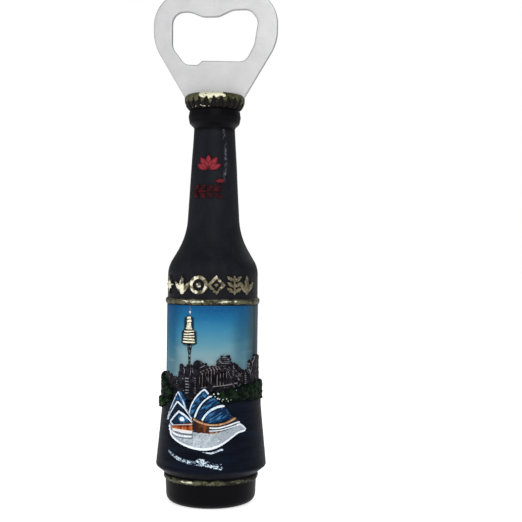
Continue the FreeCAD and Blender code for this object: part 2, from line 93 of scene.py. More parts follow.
BARREL_Z, COLLAR_Z, NECK_Z = 44.0, 62.0, 96.0
BARREL_R, COLLAR_R, NECK_R = (float(surface(z)) for z in (BARREL_Z, COLLAR_Z, NECK_Z))
LABEL_R, CITY_R, SPAN_R, HULL_R = (
    front_radius(node) for node in ("sky_label", "skyline_blocks", "arch_bridge", "boat_hull"))
FILM = LABEL_R - BARREL_R
PATTERN_R, TREE_R, BOAT_R, SEA_R = 13.0, 14.4, 15.6, 15.2


# ------------------------------------------------------------------ numpy helpers
def step(low, high, value):
    """Smooth step: 0 below low, 1 above high, 3t^2 - 2t^3 between."""
    t = np.clip((value - low) / (high - low), 0, 1)
    return t * t * (3 - 2 * t)


def grain(u, v, size, seed):
    """Smooth random field from -1 to 1: lattice values a cell apart, blended by the smooth step."""
    table = np.random.default_rng(seed).uniform(-1, 1, (64, 64))
    a, b = u / size, v / size
    i, j = np.floor(a).astype(int), np.floor(b).astype(int)
    fa, fb = a - i, b - j
    fa, fb = fa * fa * (3 - 2 * fa), fb * fb * (3 - 2 * fb)
    c00, c10 = table[i % 64, j % 64], table[(i + 1) % 64, j % 64]
    c01, c11 = table[i % 64, (j + 1) % 64], table[(i + 1) % 64, (j + 1) % 64]
    return (c00 * (1 - fa) + c10 * fa) * (1 - fb) + (c01 * (1 - fa) + c11 * fa) * fb


def cloud(u, v, size, seed, octaves=3):
    """Sum of grains, each half the size and half the strength of the one before."""
    return sum(grain(u, v, size / 2 ** k, seed + k) / 2 ** k for k in range(octaves))


def chaikin(points, rounds=2, closed=True):
    """Corner cutting: each side keeps its points at a quarter and three quarters, repeated."""
    p = np.array(points, float)
    for _ in range(rounds):
        a, b = (p, np.roll(p, -1, 0)) if closed else (p[:-1], p[1:])
        q = np.stack([0.75 * a + 0.25 * b, 0.25 * a + 0.75 * b], 1).reshape(-1, 2)
        p = q if closed else np.concatenate([p[:1], q, p[-1:]])
    return p


def unroll(points, radius):
    """Front view points (x, z) as (s, z): s is the arc from the front to where x meets the cylinder."""
    p = np.array(points, float)
    return np.stack([radius * np.arcsin(np.clip(p[:, 0] / radius, -1, 1)), p[:, 1]], 1)


def front_arc(x, radius):
    """Arc length from the front to where x meets the cylinder."""
    return radius * math.asin(x / radius)


def strokes_on(radius, paths):
    """Open front-view paths, corners cut twice, unrolled on a cylinder."""
    return tuple(unroll(chaikin(path, 2, False), radius) for path in paths)


def outline_distance(s, z, loop):
    """Signed distance to a closed outline: least distance to its sides, negative inside (even-odd rule)."""
    a, b = np.array(loop, float), np.roll(np.array(loop, float), -1, 0)
    ps, pz = s[..., None] - a[:, 0], z[..., None] - a[:, 1]
    es, ez = b[:, 0] - a[:, 0], b[:, 1] - a[:, 1]
    t = np.clip((ps * es + pz * ez) / (es * es + ez * ez + 1e-12), 0, 1)
    far = np.sqrt((ps - t * es) ** 2 + (pz - t * ez) ** 2).min(-1)
    rises = (a[:, 1] > z[..., None]) != (b[:, 1] > z[..., None])
    left = ps < es * pz / np.where(np.abs(ez) < 1e-9, 1e-9, ez)
    return np.where((rises & left).sum(-1) % 2 == 1, -far, far)


def line_distance(s, z, path):
    """Distance to an open path: the least distance to its sides."""
    p = np.array(path, float)
    a, b = p[:-1], p[1:]
    ps, pz = s[..., None] - a[:, 0], z[..., None] - a[:, 1]
    es, ez = b[:, 0] - a[:, 0], b[:, 1] - a[:, 1]
    long = np.sqrt(es * es + ez * ez)
    t = np.clip((ps * es + pz * ez) / (long * long + 1e-12), 0, 1)
    return np.sqrt((ps - t * es) ** 2 + (pz - t * ez) ** 2).min(-1)


def union(distances):
    """Outline round several: the least of their distances."""
    return np.minimum.reduce(distances)


def highest(values):
    """Upper envelope of several fields."""
    return np.maximum.reduce(values)


def nearest(s, z, paths):
    """Distance to the nearest of several open paths."""
    return union([line_distance(s, z, path) for path in paths])


def between(value, rise, fall):
    """1 between two smooth steps, each given as (low, high)."""
    return step(*rise, value) * (1 - step(*fall, value))


def leaf(x, z, long, wide, degrees):
    """Pointed leaf outline: two sine bulges about a line from its foot (x, z), leaning right by degrees."""
    t = np.linspace(0, 1, 15)
    half = wide / 2 * np.sin(np.pi * t) ** 0.8
    u = np.concatenate([half, -half[-2:0:-1]])
    v = np.concatenate([t, t[-2:0:-1]]) * long
    c, k = math.cos(math.radians(degrees)), math.sin(math.radians(degrees))
    return np.stack([x + u * c + v * k, z - u * k + v * c], 1)


def dome(distance, width):
    """Quarter round: 0 on the outline, 1 from one width inside it."""
    t = 1 - np.clip(-distance / width, 0, 1)
    return np.sqrt(np.clip(1 - t * t, 0, 1))


def flatten_back(y, soft=1.2):
    """Smooth minimum of y and the flat back."""
    h = np.clip(0.5 + 0.5 * (BACK - y) / soft, 0, 1)
    return BACK * (1 - h) + y * h - soft * h * (1 - h) * 0.5


# ------------------------------------------------------------------ meshes
# doubles closer than this are merged; sharp angle of carved pieces; reach of the border's move, in grid steps
MERGE = 0.002
CARVED_SHARP = 42.0
SNAP = 0.6


def make_piece(name, node, points, faces, masks, skin, sharp):
    """Mesh from arrays of points (millimetres) and faces, with float masks and the skin vector as attributes,
    its doubled points merged and its edges sharp above an angle in degrees."""
    mesh = bpy.data.meshes.new(name)
    mesh.from_pydata((points * MM).tolist(), [], faces)
    mesh.validate()
    for key, values in masks.items():
        held = mesh.attributes.new(key, "FLOAT", "POINT").data
        held.foreach_set("value", np.asarray(values, np.float32).ravel())
    if skin is not None:
        held = mesh.attributes.new("skin", "FLOAT_VECTOR", "POINT").data
        held.foreach_set("vector", np.asarray(skin, np.float32).ravel())
    merged = bmesh.new()
    merged.from_mesh(mesh)
    bmesh.ops.remove_doubles(merged, verts=merged.verts, dist=MERGE * MM)
    merged.to_mesh(mesh)
    merged.free()
    mesh.shade_smooth()
    mesh.set_sharp_from_angle(angle=math.radians(sharp))
    mesh.update()
    piece = bpy.data.objects.new(name, mesh)
    bpy.context.collection.objects.link(piece)
    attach(piece, ROOT)
    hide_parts(node)
    return piece


def grid_faces(rows, columns, wrap_columns=False, wrap_rows=False):
    """Quads of a grid, outward for columns that run to the viewer's right and rows that run up."""
    r = np.arange(rows if wrap_rows else rows - 1)
    c = np.arange(columns if wrap_columns else columns - 1)
    r, c = np.meshgrid(r, c, indexing="ij")
    r2, c2 = (r + 1) % rows, (c + 1) % columns
    return np.stack([r * columns + c, r * columns + c2, r2 * columns + c2, r2 * columns + c], -1).reshape(-1, 4)


def tube_faces(rows, turns):
    """Faces of a grid closed round its columns, with a flat face over each end."""
    ends = [list(range(turns))[::-1], list(range((rows - 1) * turns, rows * turns))]
    return grid_faces(rows, turns, wrap_columns=True).tolist() + ends


def coat(piece, material):
    """Gives a finished piece its material."""
    piece.data.materials.append(material)


def turned(name, node, profile, turns, shape, masks, sharp):
    """Surface of revolution: profile (r, z) rows carried round the axis, flattened behind, closed at both ends.

    shape(angle, r, z) changes r, and masks(angle, r, z) gives the paint masks."""
    angle = np.linspace(0, 2 * np.pi, turns, endpoint=False) + np.pi
    profile = np.array(profile, float)
    a, row = np.meshgrid(angle, np.arange(len(profile)))
    r, z = profile[row, 0], profile[row, 1]
    full = shape(a, r, z)
    points = np.stack([full * np.sin(a), flatten_back(-full * np.cos(a)), z], -1).reshape(-1, 3)
    wrapped = (a + np.pi) % (2 * np.pi) - np.pi
    skin = np.stack([wrapped * r, z, full], -1)
    return make_piece(name, node, points, tube_faces(len(profile), turns), masks(wrapped, full, z), skin, sharp)


def carved(name, node, window, pitch, draw, radius, depth):
    """Raised relief on the bottle: the part of an (s, z) grid inside the drawn outline, standing out from the
    bottle by the drawn rise, its border moved onto the outline, closed by walls and by a back sunk in the bottle.

    draw(s, z) gives the signed distance to the outline, the rise above the bottle, and paint masks."""
    s0, s1, z0, z1 = window
    s, z = np.meshgrid(np.arange(s0, s1 + pitch, pitch), np.arange(z0, z1 + pitch, pitch))
    first = draw(s, z)[0]
    slope_z, slope_s = np.gradient(first, pitch)
    near = np.abs(first) < SNAP * pitch
    s = np.where(near, s - first * slope_s, s)
    z = np.where(near, z - first * slope_z, z)
    _, rise, masks = draw(s, z)
    quads = grid_faces(*s.shape)
    corners = first.ravel()[quads]
    quads = quads[(corners.max(1) < SNAP * pitch) & (corners.min(1) < -0.05 * pitch)]
    used, inverse = np.unique(quads, return_inverse=True)
    quads = inverse.reshape(-1, 4)
    s, z, rise = s.ravel()[used], z.ravel()[used], rise.ravel()[used]
    count = len(used)
    base = surface(z)
    front_r, back_r = base + rise, base - depth
    angle = s / radius
    points = np.concatenate([
        np.stack([front_r * np.sin(angle), -front_r * np.cos(angle), z], 1),
        np.stack([back_r * np.sin(angle), -back_r * np.cos(angle), z], 1)])
    edges = np.concatenate([quads[:, [k, (k + 1) % 4]] for k in range(4)])
    code = edges[:, 0].astype(np.int64) * count + edges[:, 1]
    twin = edges[:, 1].astype(np.int64) * count + edges[:, 0]
    rim = edges[~np.isin(code, twin)]
    walls = np.stack([rim[:, 1], rim[:, 0], rim[:, 0] + count, rim[:, 1] + count], 1)
    faces = np.concatenate([quads, quads[:, ::-1] + count, walls]).tolist()
    skin = np.stack([s, z, rise], 1)
    paint = {k: np.tile(np.broadcast_to(v, first.shape).ravel()[used], 2) for k, v in masks.items()}
    return make_piece(name, node, points, faces, paint, np.tile(skin, (2, 1)), CARVED_SHARP)


# ------------------------------------------------------------------ materials
SATIN = 0.05


class Wire:
    """A shader socket with arithmetic: each operator adds a Math node."""

    def __init__(self, paint, socket):
        self.paint, self.socket = paint, socket

    def __add__(self, other): return self.paint.math("ADD", self, other)
    def __radd__(self, other): return self.paint.math("ADD", other, self)
    def __sub__(self, other): return self.paint.math("SUBTRACT", self, other)
    def __rsub__(self, other): return self.paint.math("SUBTRACT", other, self)
    def __mul__(self, other): return self.paint.math("MULTIPLY", self, other)
    def __truediv__(self, other): return self.paint.math("DIVIDE", self, other)


class Paint:
    """One material, with short ways to add nodes."""

    def __init__(self, name):
        self.material = bpy.data.materials.new(name)
        self.material.use_nodes = True
        self.tree = self.material.node_tree
        self.tree.nodes.clear()

    def node(self, kind, settings=None, values=None, out=0):
        """Adds a node: settings first (a ramp's stops among them), then values or links by socket."""
        made = self.tree.nodes.new(kind)
        for key, value in (settings or {}).items():
            if key == "stops":
                ramp = made.color_ramp
                while len(ramp.elements) < len(value):
                    ramp.elements.new(0.5)
                for element, (place, colour) in zip(ramp.elements, value):
                    element.position, element.color = place, (*colour, 1)
            else:
                setattr(made, key, value)
        for key, value in (values or {}).items():
            if isinstance(value, Wire):
                self.tree.links.new(value.socket, made.inputs[key])
            else:
                made.inputs[key].default_value = value
        return Wire(self, made.outputs[out]) if len(made.outputs) else None

    def math(self, operation, *values):
        return self.node("ShaderNodeMath", {"operation": operation}, dict(enumerate(values)))

    def mask(self, name):
        return self.node("ShaderNodeAttribute", {"attribute_name": name}, out=2)

    def skin(self, stretch=(1, 1, 1)):
        """Place on the bottle's skin in millimetres (round, up, out), stretched for streaky patterns."""
        place = self.node("ShaderNodeAttribute", {"attribute_name": "skin"}, out=1)
        return self.node("ShaderNodeVectorMath", {"operation": "MULTIPLY"}, {0: place, 1: stretch})

    def place(self, stretch=(1, 1, 1)):
        """Object coordinates in millimetres, stretched."""
        place = self.node("ShaderNodeTexCoord", out=3)
        return self.node("ShaderNodeVectorMath", {"operation": "MULTIPLY"},
                         {0: place, 1: tuple(k / MM for k in stretch)})

    def part(self, vector, axis):
        return self.node("ShaderNodeSeparateXYZ", None, {0: vector}, out=axis)

    def noise(self, vector, scale, detail=3.0, rough=0.55):
        return self.node("ShaderNodeTexNoise", None, {
            "Vector": vector, "Scale": scale, "Detail": detail, "Roughness": rough})

    def step(self, low, high, value):
        return self.node("ShaderNodeMapRange", {"interpolation_type": "SMOOTHSTEP"},
                         {"Value": value, "From Min": low, "From Max": high})

    def mix(self, a, b, amount):
        def colour(c):
            return c if isinstance(c, Wire) else (*c, 1)
        return self.node("ShaderNodeMix", {"data_type": "RGBA"}, {0: amount, 6: colour(a), 7: colour(b)}, out=2)

    def bump(self, height, distance, strength):
        """Bump from a height and a distance in millimetres."""
        return self.node("ShaderNodeBump", None, {"Height": height, "Distance": distance * MM, "Strength": strength})

    def flecks(self, streak, scale=1.6, detail=5.0):
        """Fine brush grain on the skin, stretched round and up."""
        return self.noise(self.skin((*streak, 0.6)), scale, detail, 0.65)

    def ramp(self, value, stops):
        return self.node("ShaderNodeValToRGB", {"stops": stops}, {0: value})

    def satin(self, base, rough, height, distance, strength=0.7, **more):
        """Satin paint: colour, roughness, and a bump of a height, a distance in millimetres and a strength."""
        return self.surface(Base_Color=base, Roughness=rough, Specular_IOR_Level=SATIN,
                            Normal=self.bump(height, distance, strength), **more)

    def surface(self, **values):
        """Principled surface into the output; values by socket name, with _ for a space."""
        shader = self.node("ShaderNodeBsdfPrincipled", None, {
            key.replace("_", " "): (*v, 1) if key == "Base_Color" and not isinstance(v, Wire) else v
            for key, v in values.items()})
        self.node("ShaderNodeOutputMaterial", None, {0: shader})
        return self.material


def wear(p, size, shift):
    """Patchy wear mask from 0 to 1 on object coordinates, moved aside by the shift."""
    at = p.node("ShaderNodeVectorMath", {"operation": "ADD"}, {0: p.place(), 1: (shift, shift * 0.7, 0)})
    return p.noise(at, 1.0 / size, 5.0, 0.65)


def steel_paint():
    """Tumbled stainless steel: level scratches and clouds on the faces; sheared edges darker, partly as painted edge
    shade.
    """
    p = Paint("tumbled_steel")
    lines = p.noise(p.place((0.5, 1.0, 9.0)), 1.0, 4.0, 0.6)
    cloudy = p.noise(p.place(), 0.16, 3.0, 0.55)
    specks = p.noise(p.place(), 3.0, 2.0, 0.5)
    patch = cloudy * 0.6 + lines * 0.3 + specks * 0.1
    tone = p.mix((0.475, 0.475, 0.48), (0.565, 0.565, 0.57), p.step(0.3, 0.7, patch))
    # painted edge shade: the sheared edges darkened, partly the darker sheared steel and partly shade painted on
    tone = p.mix(tone, (0.20, 0.20, 0.21), p.mask("sheared") * p.step(0.15, 0.55, specks))
    return p.surface(Base_Color=tone, Metallic=0.6, Roughness=0.42 + cloudy * 0.10 + lines * 0.05,
                     Normal=p.bump(lines * 0.5 + specks * 0.5, 0.012, 0.5))


def bottle_paint():
    """Satin black, painted shade in foot and under cap, dark navy sea skirt with level brush strokes, dark teal
    beside the sky.
    """
    p = Paint("bottle_black_and_sea")
    sea = p.mask("sea")
    strokes = p.noise(p.skin((0.22, 2.4, 0.0)), 1.0, 5.0, 0.62)
    broad = p.noise(p.skin((0.07, 0.55, 0.0)), 1.0, 3.0, 0.5)
    dust = p.noise(p.place(), 1.1, 4.0, 0.7)
    cloudy = p.noise(p.place((1.0, 1.0, 0.3)), 0.35, 3.0, 0.55)
    black = p.mix((0.0075, 0.0080, 0.0110), (0.0125, 0.0135, 0.0175), p.step(0.35, 0.75, dust * 0.4 + cloudy * 0.6))
    # painted shade: near black in the foot below the skirt and at the lip under the cap
    black = p.mix(black, (0.0022, 0.0020, 0.0030), p.mask("deep"))
    navy = p.mix((0.0014, 0.0026, 0.0066), (0.0030, 0.0062, 0.0145), p.step(0.35, 0.7, broad))
    navy = p.mix(navy, (0.0080, 0.021, 0.042), p.step(0.56, 0.82, strokes) * 0.45)
    side = p.mix((0.0130, 0.032, 0.042), (0.024, 0.055, 0.068), p.step(0.3, 0.7, cloudy))
    base = p.mix(black, navy, sea)
    base = p.mix(base, side, p.mask("beside"))
    base = p.mix(base, (0.125, 0.130, 0.160), p.mask("drip") * p.step(0.44, 0.62, dust))
    rough = 0.40 + dust * 0.12 + sea * 0.05
    pits, swells = p.noise(p.place(), 2.6, 4.0, 0.6), p.noise(p.place(), 0.45, 2.0, 0.5)
    height = pits * 0.03 + swells * 0.06 + strokes * sea * 0.08
    return p.satin(base, rough, height, 1.0, 0.8)


def gold_paint(name, low, high, shine, dark=(0.012, 0.011, 0.010), seed=0.0, spread=(0.40, 0.62)):
    """Rubbed gold: dark recesses, olive gold, and pale spots, part rubbed wear and part painted highlight, where the
    raised mask is high.
    """
    p = Paint(name)
    raised = p.mask("raised")
    patch = wear(p, 2.2, seed)
    fine = wear(p, 0.55, seed + 3.0)
    gold = p.mix(low, high, p.step(0.35, 0.65, patch * 0.6 + fine * 0.4))
    # pale gold on the wear and highlight mask: partly rubbed wear, partly painted highlight
    gold = p.mix(gold, shine, p.step(*spread, p.mask("rubbed") * 0.55 + fine * 0.45 - 0.02))
    cover = p.step(0.25, 0.60, raised * 0.85 + (fine - 0.5) * 0.6)
    base = p.mix(dark, gold, cover)
    rough = 0.46 - cover * 0.08 + fine * 0.08
    return p.satin(base, rough, fine * 0.5 + patch * 0.5, 0.14, 0.8, Metallic=cover * 0.35)


def sky_paint():
    """Printed sky: deep blue at the top through teal to a pale grey-green haze, greyer and darker to the sides,
    partly print and partly painted shade.
    """
    p = Paint("printed_sky")
    at = p.skin()
    s, z = p.part(at, 0), p.part(at, 1)
    drift = p.noise(p.skin((0.09, 0.14, 0)), 1.0, 3.0, 0.5)
    height = (z - FILM_LOW[2]) / (FILM_HIGH[2] - FILM_LOW[2]) + (drift - 0.5) * 0.16
    middle = p.ramp(height, [
        (0.32, (0.215, 0.315, 0.335)), (0.48, (0.165, 0.300, 0.345)), (0.60, (0.088, 0.250, 0.335)),
        (0.74, (0.036, 0.195, 0.325)), (0.86, (0.012, 0.130, 0.275)), (0.97, (0.0055, 0.080, 0.215))])
    edge = p.ramp(height, [
        (0.32, (0.105, 0.190, 0.225)), (0.48, (0.062, 0.165, 0.220)), (0.62, (0.034, 0.130, 0.200)),
        (0.78, (0.018, 0.100, 0.190)), (0.96, (0.0065, 0.072, 0.180))])
    left = p.ramp(height, [
        (0.32, (0.075, 0.172, 0.215)), (0.48, (0.042, 0.148, 0.215)), (0.62, (0.013, 0.112, 0.205)),
        (0.78, (0.009, 0.088, 0.185)), (0.96, (0.003, 0.062, 0.165))])
    wander = (drift - 0.5) * 4
    # greyer and darker to the sides: partly the print, partly painted shade where the label turns away
    base = p.mix(middle, edge, p.step(6.0, 11.0, s + wander))
    base = p.mix(base, left, p.step(-5.8, -10.6, s + wander))
    base = p.mix(base, (0.030, 0.066, 0.082), p.step(12.0, 15.2, s + (drift - 0.5) * 1.5) * 0.85)
    base = p.mix(base, (0.014, 0.040, 0.062), p.step(-14.0, -16.0, s) * 0.7)
    wisp = p.noise(p.skin((0.16, 0.42, 0)), 1.0, 4.0, 0.6)
    base = p.mix(base, (0.33, 0.40, 0.42), p.step(0.50, 0.80, wisp) * p.step(0.66, 0.34, height) * 0.5)
    mottle = p.noise(p.skin((1.0, 1.0, 0)), 1.3, 4.0, 0.6)
    base = p.mix(base, (0.14, 0.27, 0.33), p.step(0.50, 0.85, mottle) * 0.15)
    # near black round the tower: partly dark paint, partly painted shade beside the standing tower
    base = p.mix(base, (0.004, 0.006, 0.008), p.mask("outline"))
    return p.satin(base, 0.42 + mottle * 0.1, mottle, 0.02, 0.6)


def brushed_paint(name, ground, light, brush, dark=(0.004, 0.005, 0.007), rough=0.5, streak=(1.2, 1.2)):
    """Hand-painted relief: ground varied to light, dry-brush colour on the brush mask, dark on the recess mask."""
    p = Paint(name)
    fine = p.flecks(streak)
    patch = wear(p, 1.6, 1.7)
    base = p.mix(ground, light, p.step(0.35, 0.72, fine * 0.6 + p.mask("tone") * 0.4))
    base = p.mix(base, brush, p.step(0.38, 0.62, p.mask("brush") * 0.8 + (fine - 0.5) * 0.9))
    base = p.mix(base, dark, p.mask("recess"))
    return p.satin(base, rough + fine * 0.1, fine * 0.6 + patch * 0.4, 0.10)


# ------------------------------------------------------------------ bottle
# depth and height of the foot's rounding; runs of profile rows (from, to, count); where the sea's ridges, its
# paint and the teal beside the sky rise and fall
FOOT_ROUND = (1.3, 3.0)
ROW_RUNS = ((0.125, 1.0, 8), (1.2, 3.2, 9), (3.8, 8.2, 7), (8.45, 11.9, 24), (12.3, 29.0, 44), (29.3, 31.4, 16),
            (32.2, 56.2, 26), (56.5, 58.6, 8), (59.2, 64.5, 10), (65.0, 84.0, 60), (84.8, 105.6, 40),
            (105.8, BODY_TOP - 0.1, 44))
RIDGED_SEA = ((10.2, 12.2), (28.0, 30.5))
PAINTED_SEA = ((9.6, 11.0), (30.2, 31.0))
BESIDE_SKY = ((30.4, 31.2), (56.2, 56.8))


def bottle_rows():
    """Profile rows of the bottle, closer together where it curves, the foot rounded by a quarter ellipse."""
    z = np.concatenate([np.linspace(*run) for run in ROW_RUNS])
    r = surface(z)
    t = np.clip(1 - z / FOOT_ROUND[1], 0, 1)
    r = r - FOOT_ROUND[0] * (1 - np.sqrt(1 - t * t))
    bottom = [(float(r[0]) * k, 0.0) for k in (0.86, 0.93, 0.965)]
    top = [(float(r[-1]) - 0.25, BODY_TOP), (float(r[-1]) - 1.2, BODY_TOP)]
    return bottom + list(zip(r, z)) + top


DRIP_PATH = [
    (3.4, 106.0), (3.7, 103.5), (4.05, 101.0), (4.0, 98.5), (4.25, 96.2), (3.95, 94.0), (4.1, 91.5)]


def bottle_shape(angle, r, z):
    """Casting swells a few hundredths deep, level brush ridges on the sea skirt, and a run of paint drips."""
    wrapped = (angle + np.pi) % (2 * np.pi) - np.pi
    s = wrapped * PATTERN_R
    front = np.cos(wrapped / 2) ** 2
    swell = 0.055 * cloud(s * 0.5 + 40, z * 0.5, 3.2, 11, 2) * front
    ridges = 0.045 * cloud(s * 0.16 + 30, z * 1.6, 1.0, 23, 2) * between(z, *RIDGED_SEA) * front
    drip = drip_mask(wrapped, r, z) * (0.10 + 0.09 * grain(s * 2, z * 2, 0.9, 5))
    return np.where(z > 0.01, r + swell + ridges + drip, r)


def drip_mask(angle, r, z):
    """1 on the thin broken trail of paint down the neck's right side."""
    x = np.where(np.cos(angle) > 0, r * np.sin(angle), -50)
    far = line_distance(x, z, DRIP_PATH)
    return step(0.46, 0.14, far) * step(-0.45, 0.15, grain(x * 3, z * 2.2, 1.0, 8))


def bottle_masks(angle, r, z):
    """Sea paint on the front of the skirt, teal beside the sky, painted shade in the foot and under the cap, and
    drips.
    """
    front = step(1.93, 1.78, np.abs(angle) + 0.03 * grain(z, z * 0 + 3, 1.5, 4))
    shore, top = PAINTED_SEA
    sea = step(*shore, z + 0.25 * grain(angle * PATTERN_R, z, 2.0, 3)) * (1 - step(*top, z)) * front
    beside = between(z, *BESIDE_SKY) * step(1.85, 1.55, np.abs(angle))
    # painted shade: marks the foot below the skirt and the neck under the cap
    deep = np.maximum(step(9.2, 8.2, z), step(105.4, 106.4, z))
    return {"sea": sea, "beside": beside, "deep": deep, "drip": drip_mask(angle, r, z)}


coat(turned("bottle", "bottle_body", bottle_rows(), 216, bottle_shape, bottle_masks, 60),
     bottle_paint())


# ------------------------------------------------------------------ steel plate
# radius of the plate's edges, rows across its face, and how far past a hit the next ray starts, in metres
PLATE_EDGE = 0.36
FACE_ROWS = 12
RAY_SKIP = 0.0002
MOUTH_CENTRE = np.array([0.0, 133.2])


def plate_outlines(count=900):
    """Mouth and outer edge of the plate in the X-Z plane, read along rays from the mouth's centre."""
    tree = tree_of("opener_plate")
    angle = np.linspace(0, 2 * np.pi, count, endpoint=False)
    inner, outer = [], []
    origin = Vector((MOUTH_CENTRE[0] * MM, 0.00001, MOUTH_CENTRE[1] * MM))
    for a in angle:
        way = Vector((math.sin(a), 0, math.cos(a)))
        near = tree.ray_cast(origin, way)[3]
        far = near + RAY_SKIP + tree.ray_cast(origin + way * (near + RAY_SKIP), way)[3]
        inner.append(near / MM)
        outer.append(far / MM)
    inner, outer = np.array(inner), np.array(outer)
    buried = (CAP_FOOT + 1.0 - MOUTH_CENTRE[1]) / np.minimum(np.cos(angle), -0.01)
    outer = np.where(np.cos(angle) < -0.5, np.minimum(outer, buried), outer)
    ways = np.stack([np.sin(angle), np.cos(angle)], 1)
    kernel = np.array([1, 2, 3, 2, 1]) / 9.0
    loops = []
    for reach in (inner, outer):
        reach = np.convolve(np.concatenate([reach[-2:], reach, reach[:2]]), kernel, "valid")
        loops.append(MOUTH_CENTRE + ways * reach[:, None])
    return loops


def steel_plate():
    """Ring-shaped stamped plate: a rounded section carried round between the mouth and the outer edge."""
    mouth, rim = plate_outlines()

    def inward(loop, sign):
        along = np.roll(loop, -1, 0) - np.roll(loop, 1, 0)
        along /= np.linalg.norm(along, axis=1)[:, None]
        return np.stack([along[:, 1], -along[:, 0]], 1) * sign
    rim_in, mouth_in = inward(rim, 1.0), inward(mouth, -1.0)
    corner = np.linspace(0, np.pi / 2, 6)
    rows = []
    flat = PLATE_HALF - PLATE_EDGE
    for t in corner:
        rows.append((rim + rim_in * PLATE_EDGE * (1 - math.cos(t)), -(flat + PLATE_EDGE * math.sin(t))))
    face_start, face_end = rim + rim_in * PLATE_EDGE, mouth + mouth_in * PLATE_EDGE
    for k in np.linspace(0, 1, FACE_ROWS + 2)[1:-1]:
        rows.append((face_start * (1 - k) + face_end * k, -PLATE_HALF))
    for t in corner[::-1]:
        rows.append((mouth + mouth_in * PLATE_EDGE * (1 - math.cos(t)), -(flat + PLATE_EDGE * math.sin(t))))
    rows += [(p, -y) for p, y in rows[::-1]]
    # edge weights, highest on the side walls: they carry the sheared steel's darkness and painted edge shade
    sheared = [math.cos(t) ** 2 for t in corner]
    sheared += [0.0] * FACE_ROWS + sheared[::-1]
    masks = {"sheared": np.repeat(sheared + sheared[::-1], len(rim))}
    points = np.concatenate([np.stack([p[:, 0], np.full(len(p), y), p[:, 1]], 1) for p, y in rows])
    faces = grid_faces(len(rows), len(rim), wrap_columns=True, wrap_rows=True)[:, ::-1]
    return make_piece("steel_cap_lifter", "opener_plate", points, faces.tolist(), masks, None, 60)


coat(steel_plate(), steel_paint())


# ------------------------------------------------------------------ crown cap
# ridges round the skirt, radius the cap's patterns are laid on, and the quarter round of its top edge
CAP_RIDGES = 24
CAP_R = 8
EDGE_R, EDGE_Z = 7.46, 115.1
EDGE_OUT, EDGE_UP = 1.2, 1.25
GLINT_SPECK_PATH = [
    (-6.9, 112.1), (-5.2, 112.9), (-4.1, 113.2), (-3.4, 112.8), (-2.6, 112.35), (-0.9, 112.45), (0.0, 112.3)]


def cap_rows():
    """Outer profile of the cap: turned-in skirt, rounded top edge and a slight dome."""
    skirt_z = np.linspace(CAP_FOOT, EDGE_Z, 34)
    skirt_r = np.interp(skirt_z, [112.0, 112.2, 112.8, 113.5, 114.2, EDGE_Z], [7.1, 7.5, 8.0, 8.38, 8.58, 8.66])
    t = np.linspace(0, np.pi / 2, 10)[1:]
    edge = [(EDGE_R + EDGE_OUT * math.cos(k), EDGE_Z + EDGE_UP * math.sin(k)) for k in t]
    top = [(EDGE_R * k, EDGE_Z + EDGE_UP + 0.42 * (1 - k * k)) for k in (0.9, 0.75, 0.55, 0.35, 0.15, 0.03)]
    return [(6.6, CAP_FOOT)] + list(zip(skirt_r, skirt_z)) + edge + top


def crimp(angle, z):
    """1 on a crimp ridge, 0 in the gap: the ridges are full width at the top and thin out downwards."""
    wave = 0.5 + 0.5 * np.cos(CAP_RIDGES * angle)
    gap = np.interp(z, [112.0, 113.2, 114.6, 115.7], [0.74, 0.64, 0.34, -0.30])
    return step(gap - 0.22, gap + 0.22, wave)


def cap_shape(angle, r, z):
    """Gaps between the ridges cut in below the top edge, and slight lumps."""
    low = step(115.9, 114.6, z)
    lumpy = 0.05 * cloud(angle * CAP_R + 20, z * 1.4, 1.1, 31, 2)
    return r - (1 - crimp(angle, z)) * 0.85 * low + lumpy * (r > 6.8)


def cap_masks(angle, r, z):
    """Gold on the ridges and the top, a painted highlight as a torn pale patch across the top's front edge, and pale
    specks at the skirt as painted glints.
    """
    raised = np.where(z > 115.3, 1.0, crimp(angle, z))
    raised = raised * step(112.9, 114.9, z + 0.8 * grain(angle * CAP_R, z, 0.9, 4))
    # painted highlight: a torn pale patch on the front of the top edge only
    across, ahead = r * np.sin(angle), r * np.cos(angle)
    up = np.where(z < 116.3, z - EDGE_Z, EDGE_UP + np.maximum(EDGE_R - ahead, 0) * 0.8)
    torn = cloud(across + 20, up * 1.3, 1.5, 7, 3)
    patch = 1 - ((across - 0.3) / 4.4) ** 2 - ((up - 0.75) / 1.75) ** 2 + 0.42 * torn
    rubbed = step(0.05, 0.50, patch) * (ahead > 0) * (0.92 + 0.30 * cloud(across + 60, up, 0.6, 8, 2))
    # painted glints: pale specks along the skirt's lower left
    far = line_distance(angle * CAP_R, z, GLINT_SPECK_PATH)
    specks = step(0.17, 0.05, far) * step(-0.15, 0.25, grain(angle * CAP_R + 60, z, 0.45, 9))
    return {"raised": np.maximum(raised, specks), "rubbed": np.maximum(rubbed, specks * 1.2)}


coat(turned("gold_crown_cap", "crown_cap", cap_rows(), 384, cap_shape, cap_masks, 50),
     gold_paint("rubbed_cap_gold", (0.030, 0.030, 0.016), (0.120, 0.118, 0.066), (0.70, 0.68, 0.50), seed=2.0,
                spread=(0.48, 0.66)))


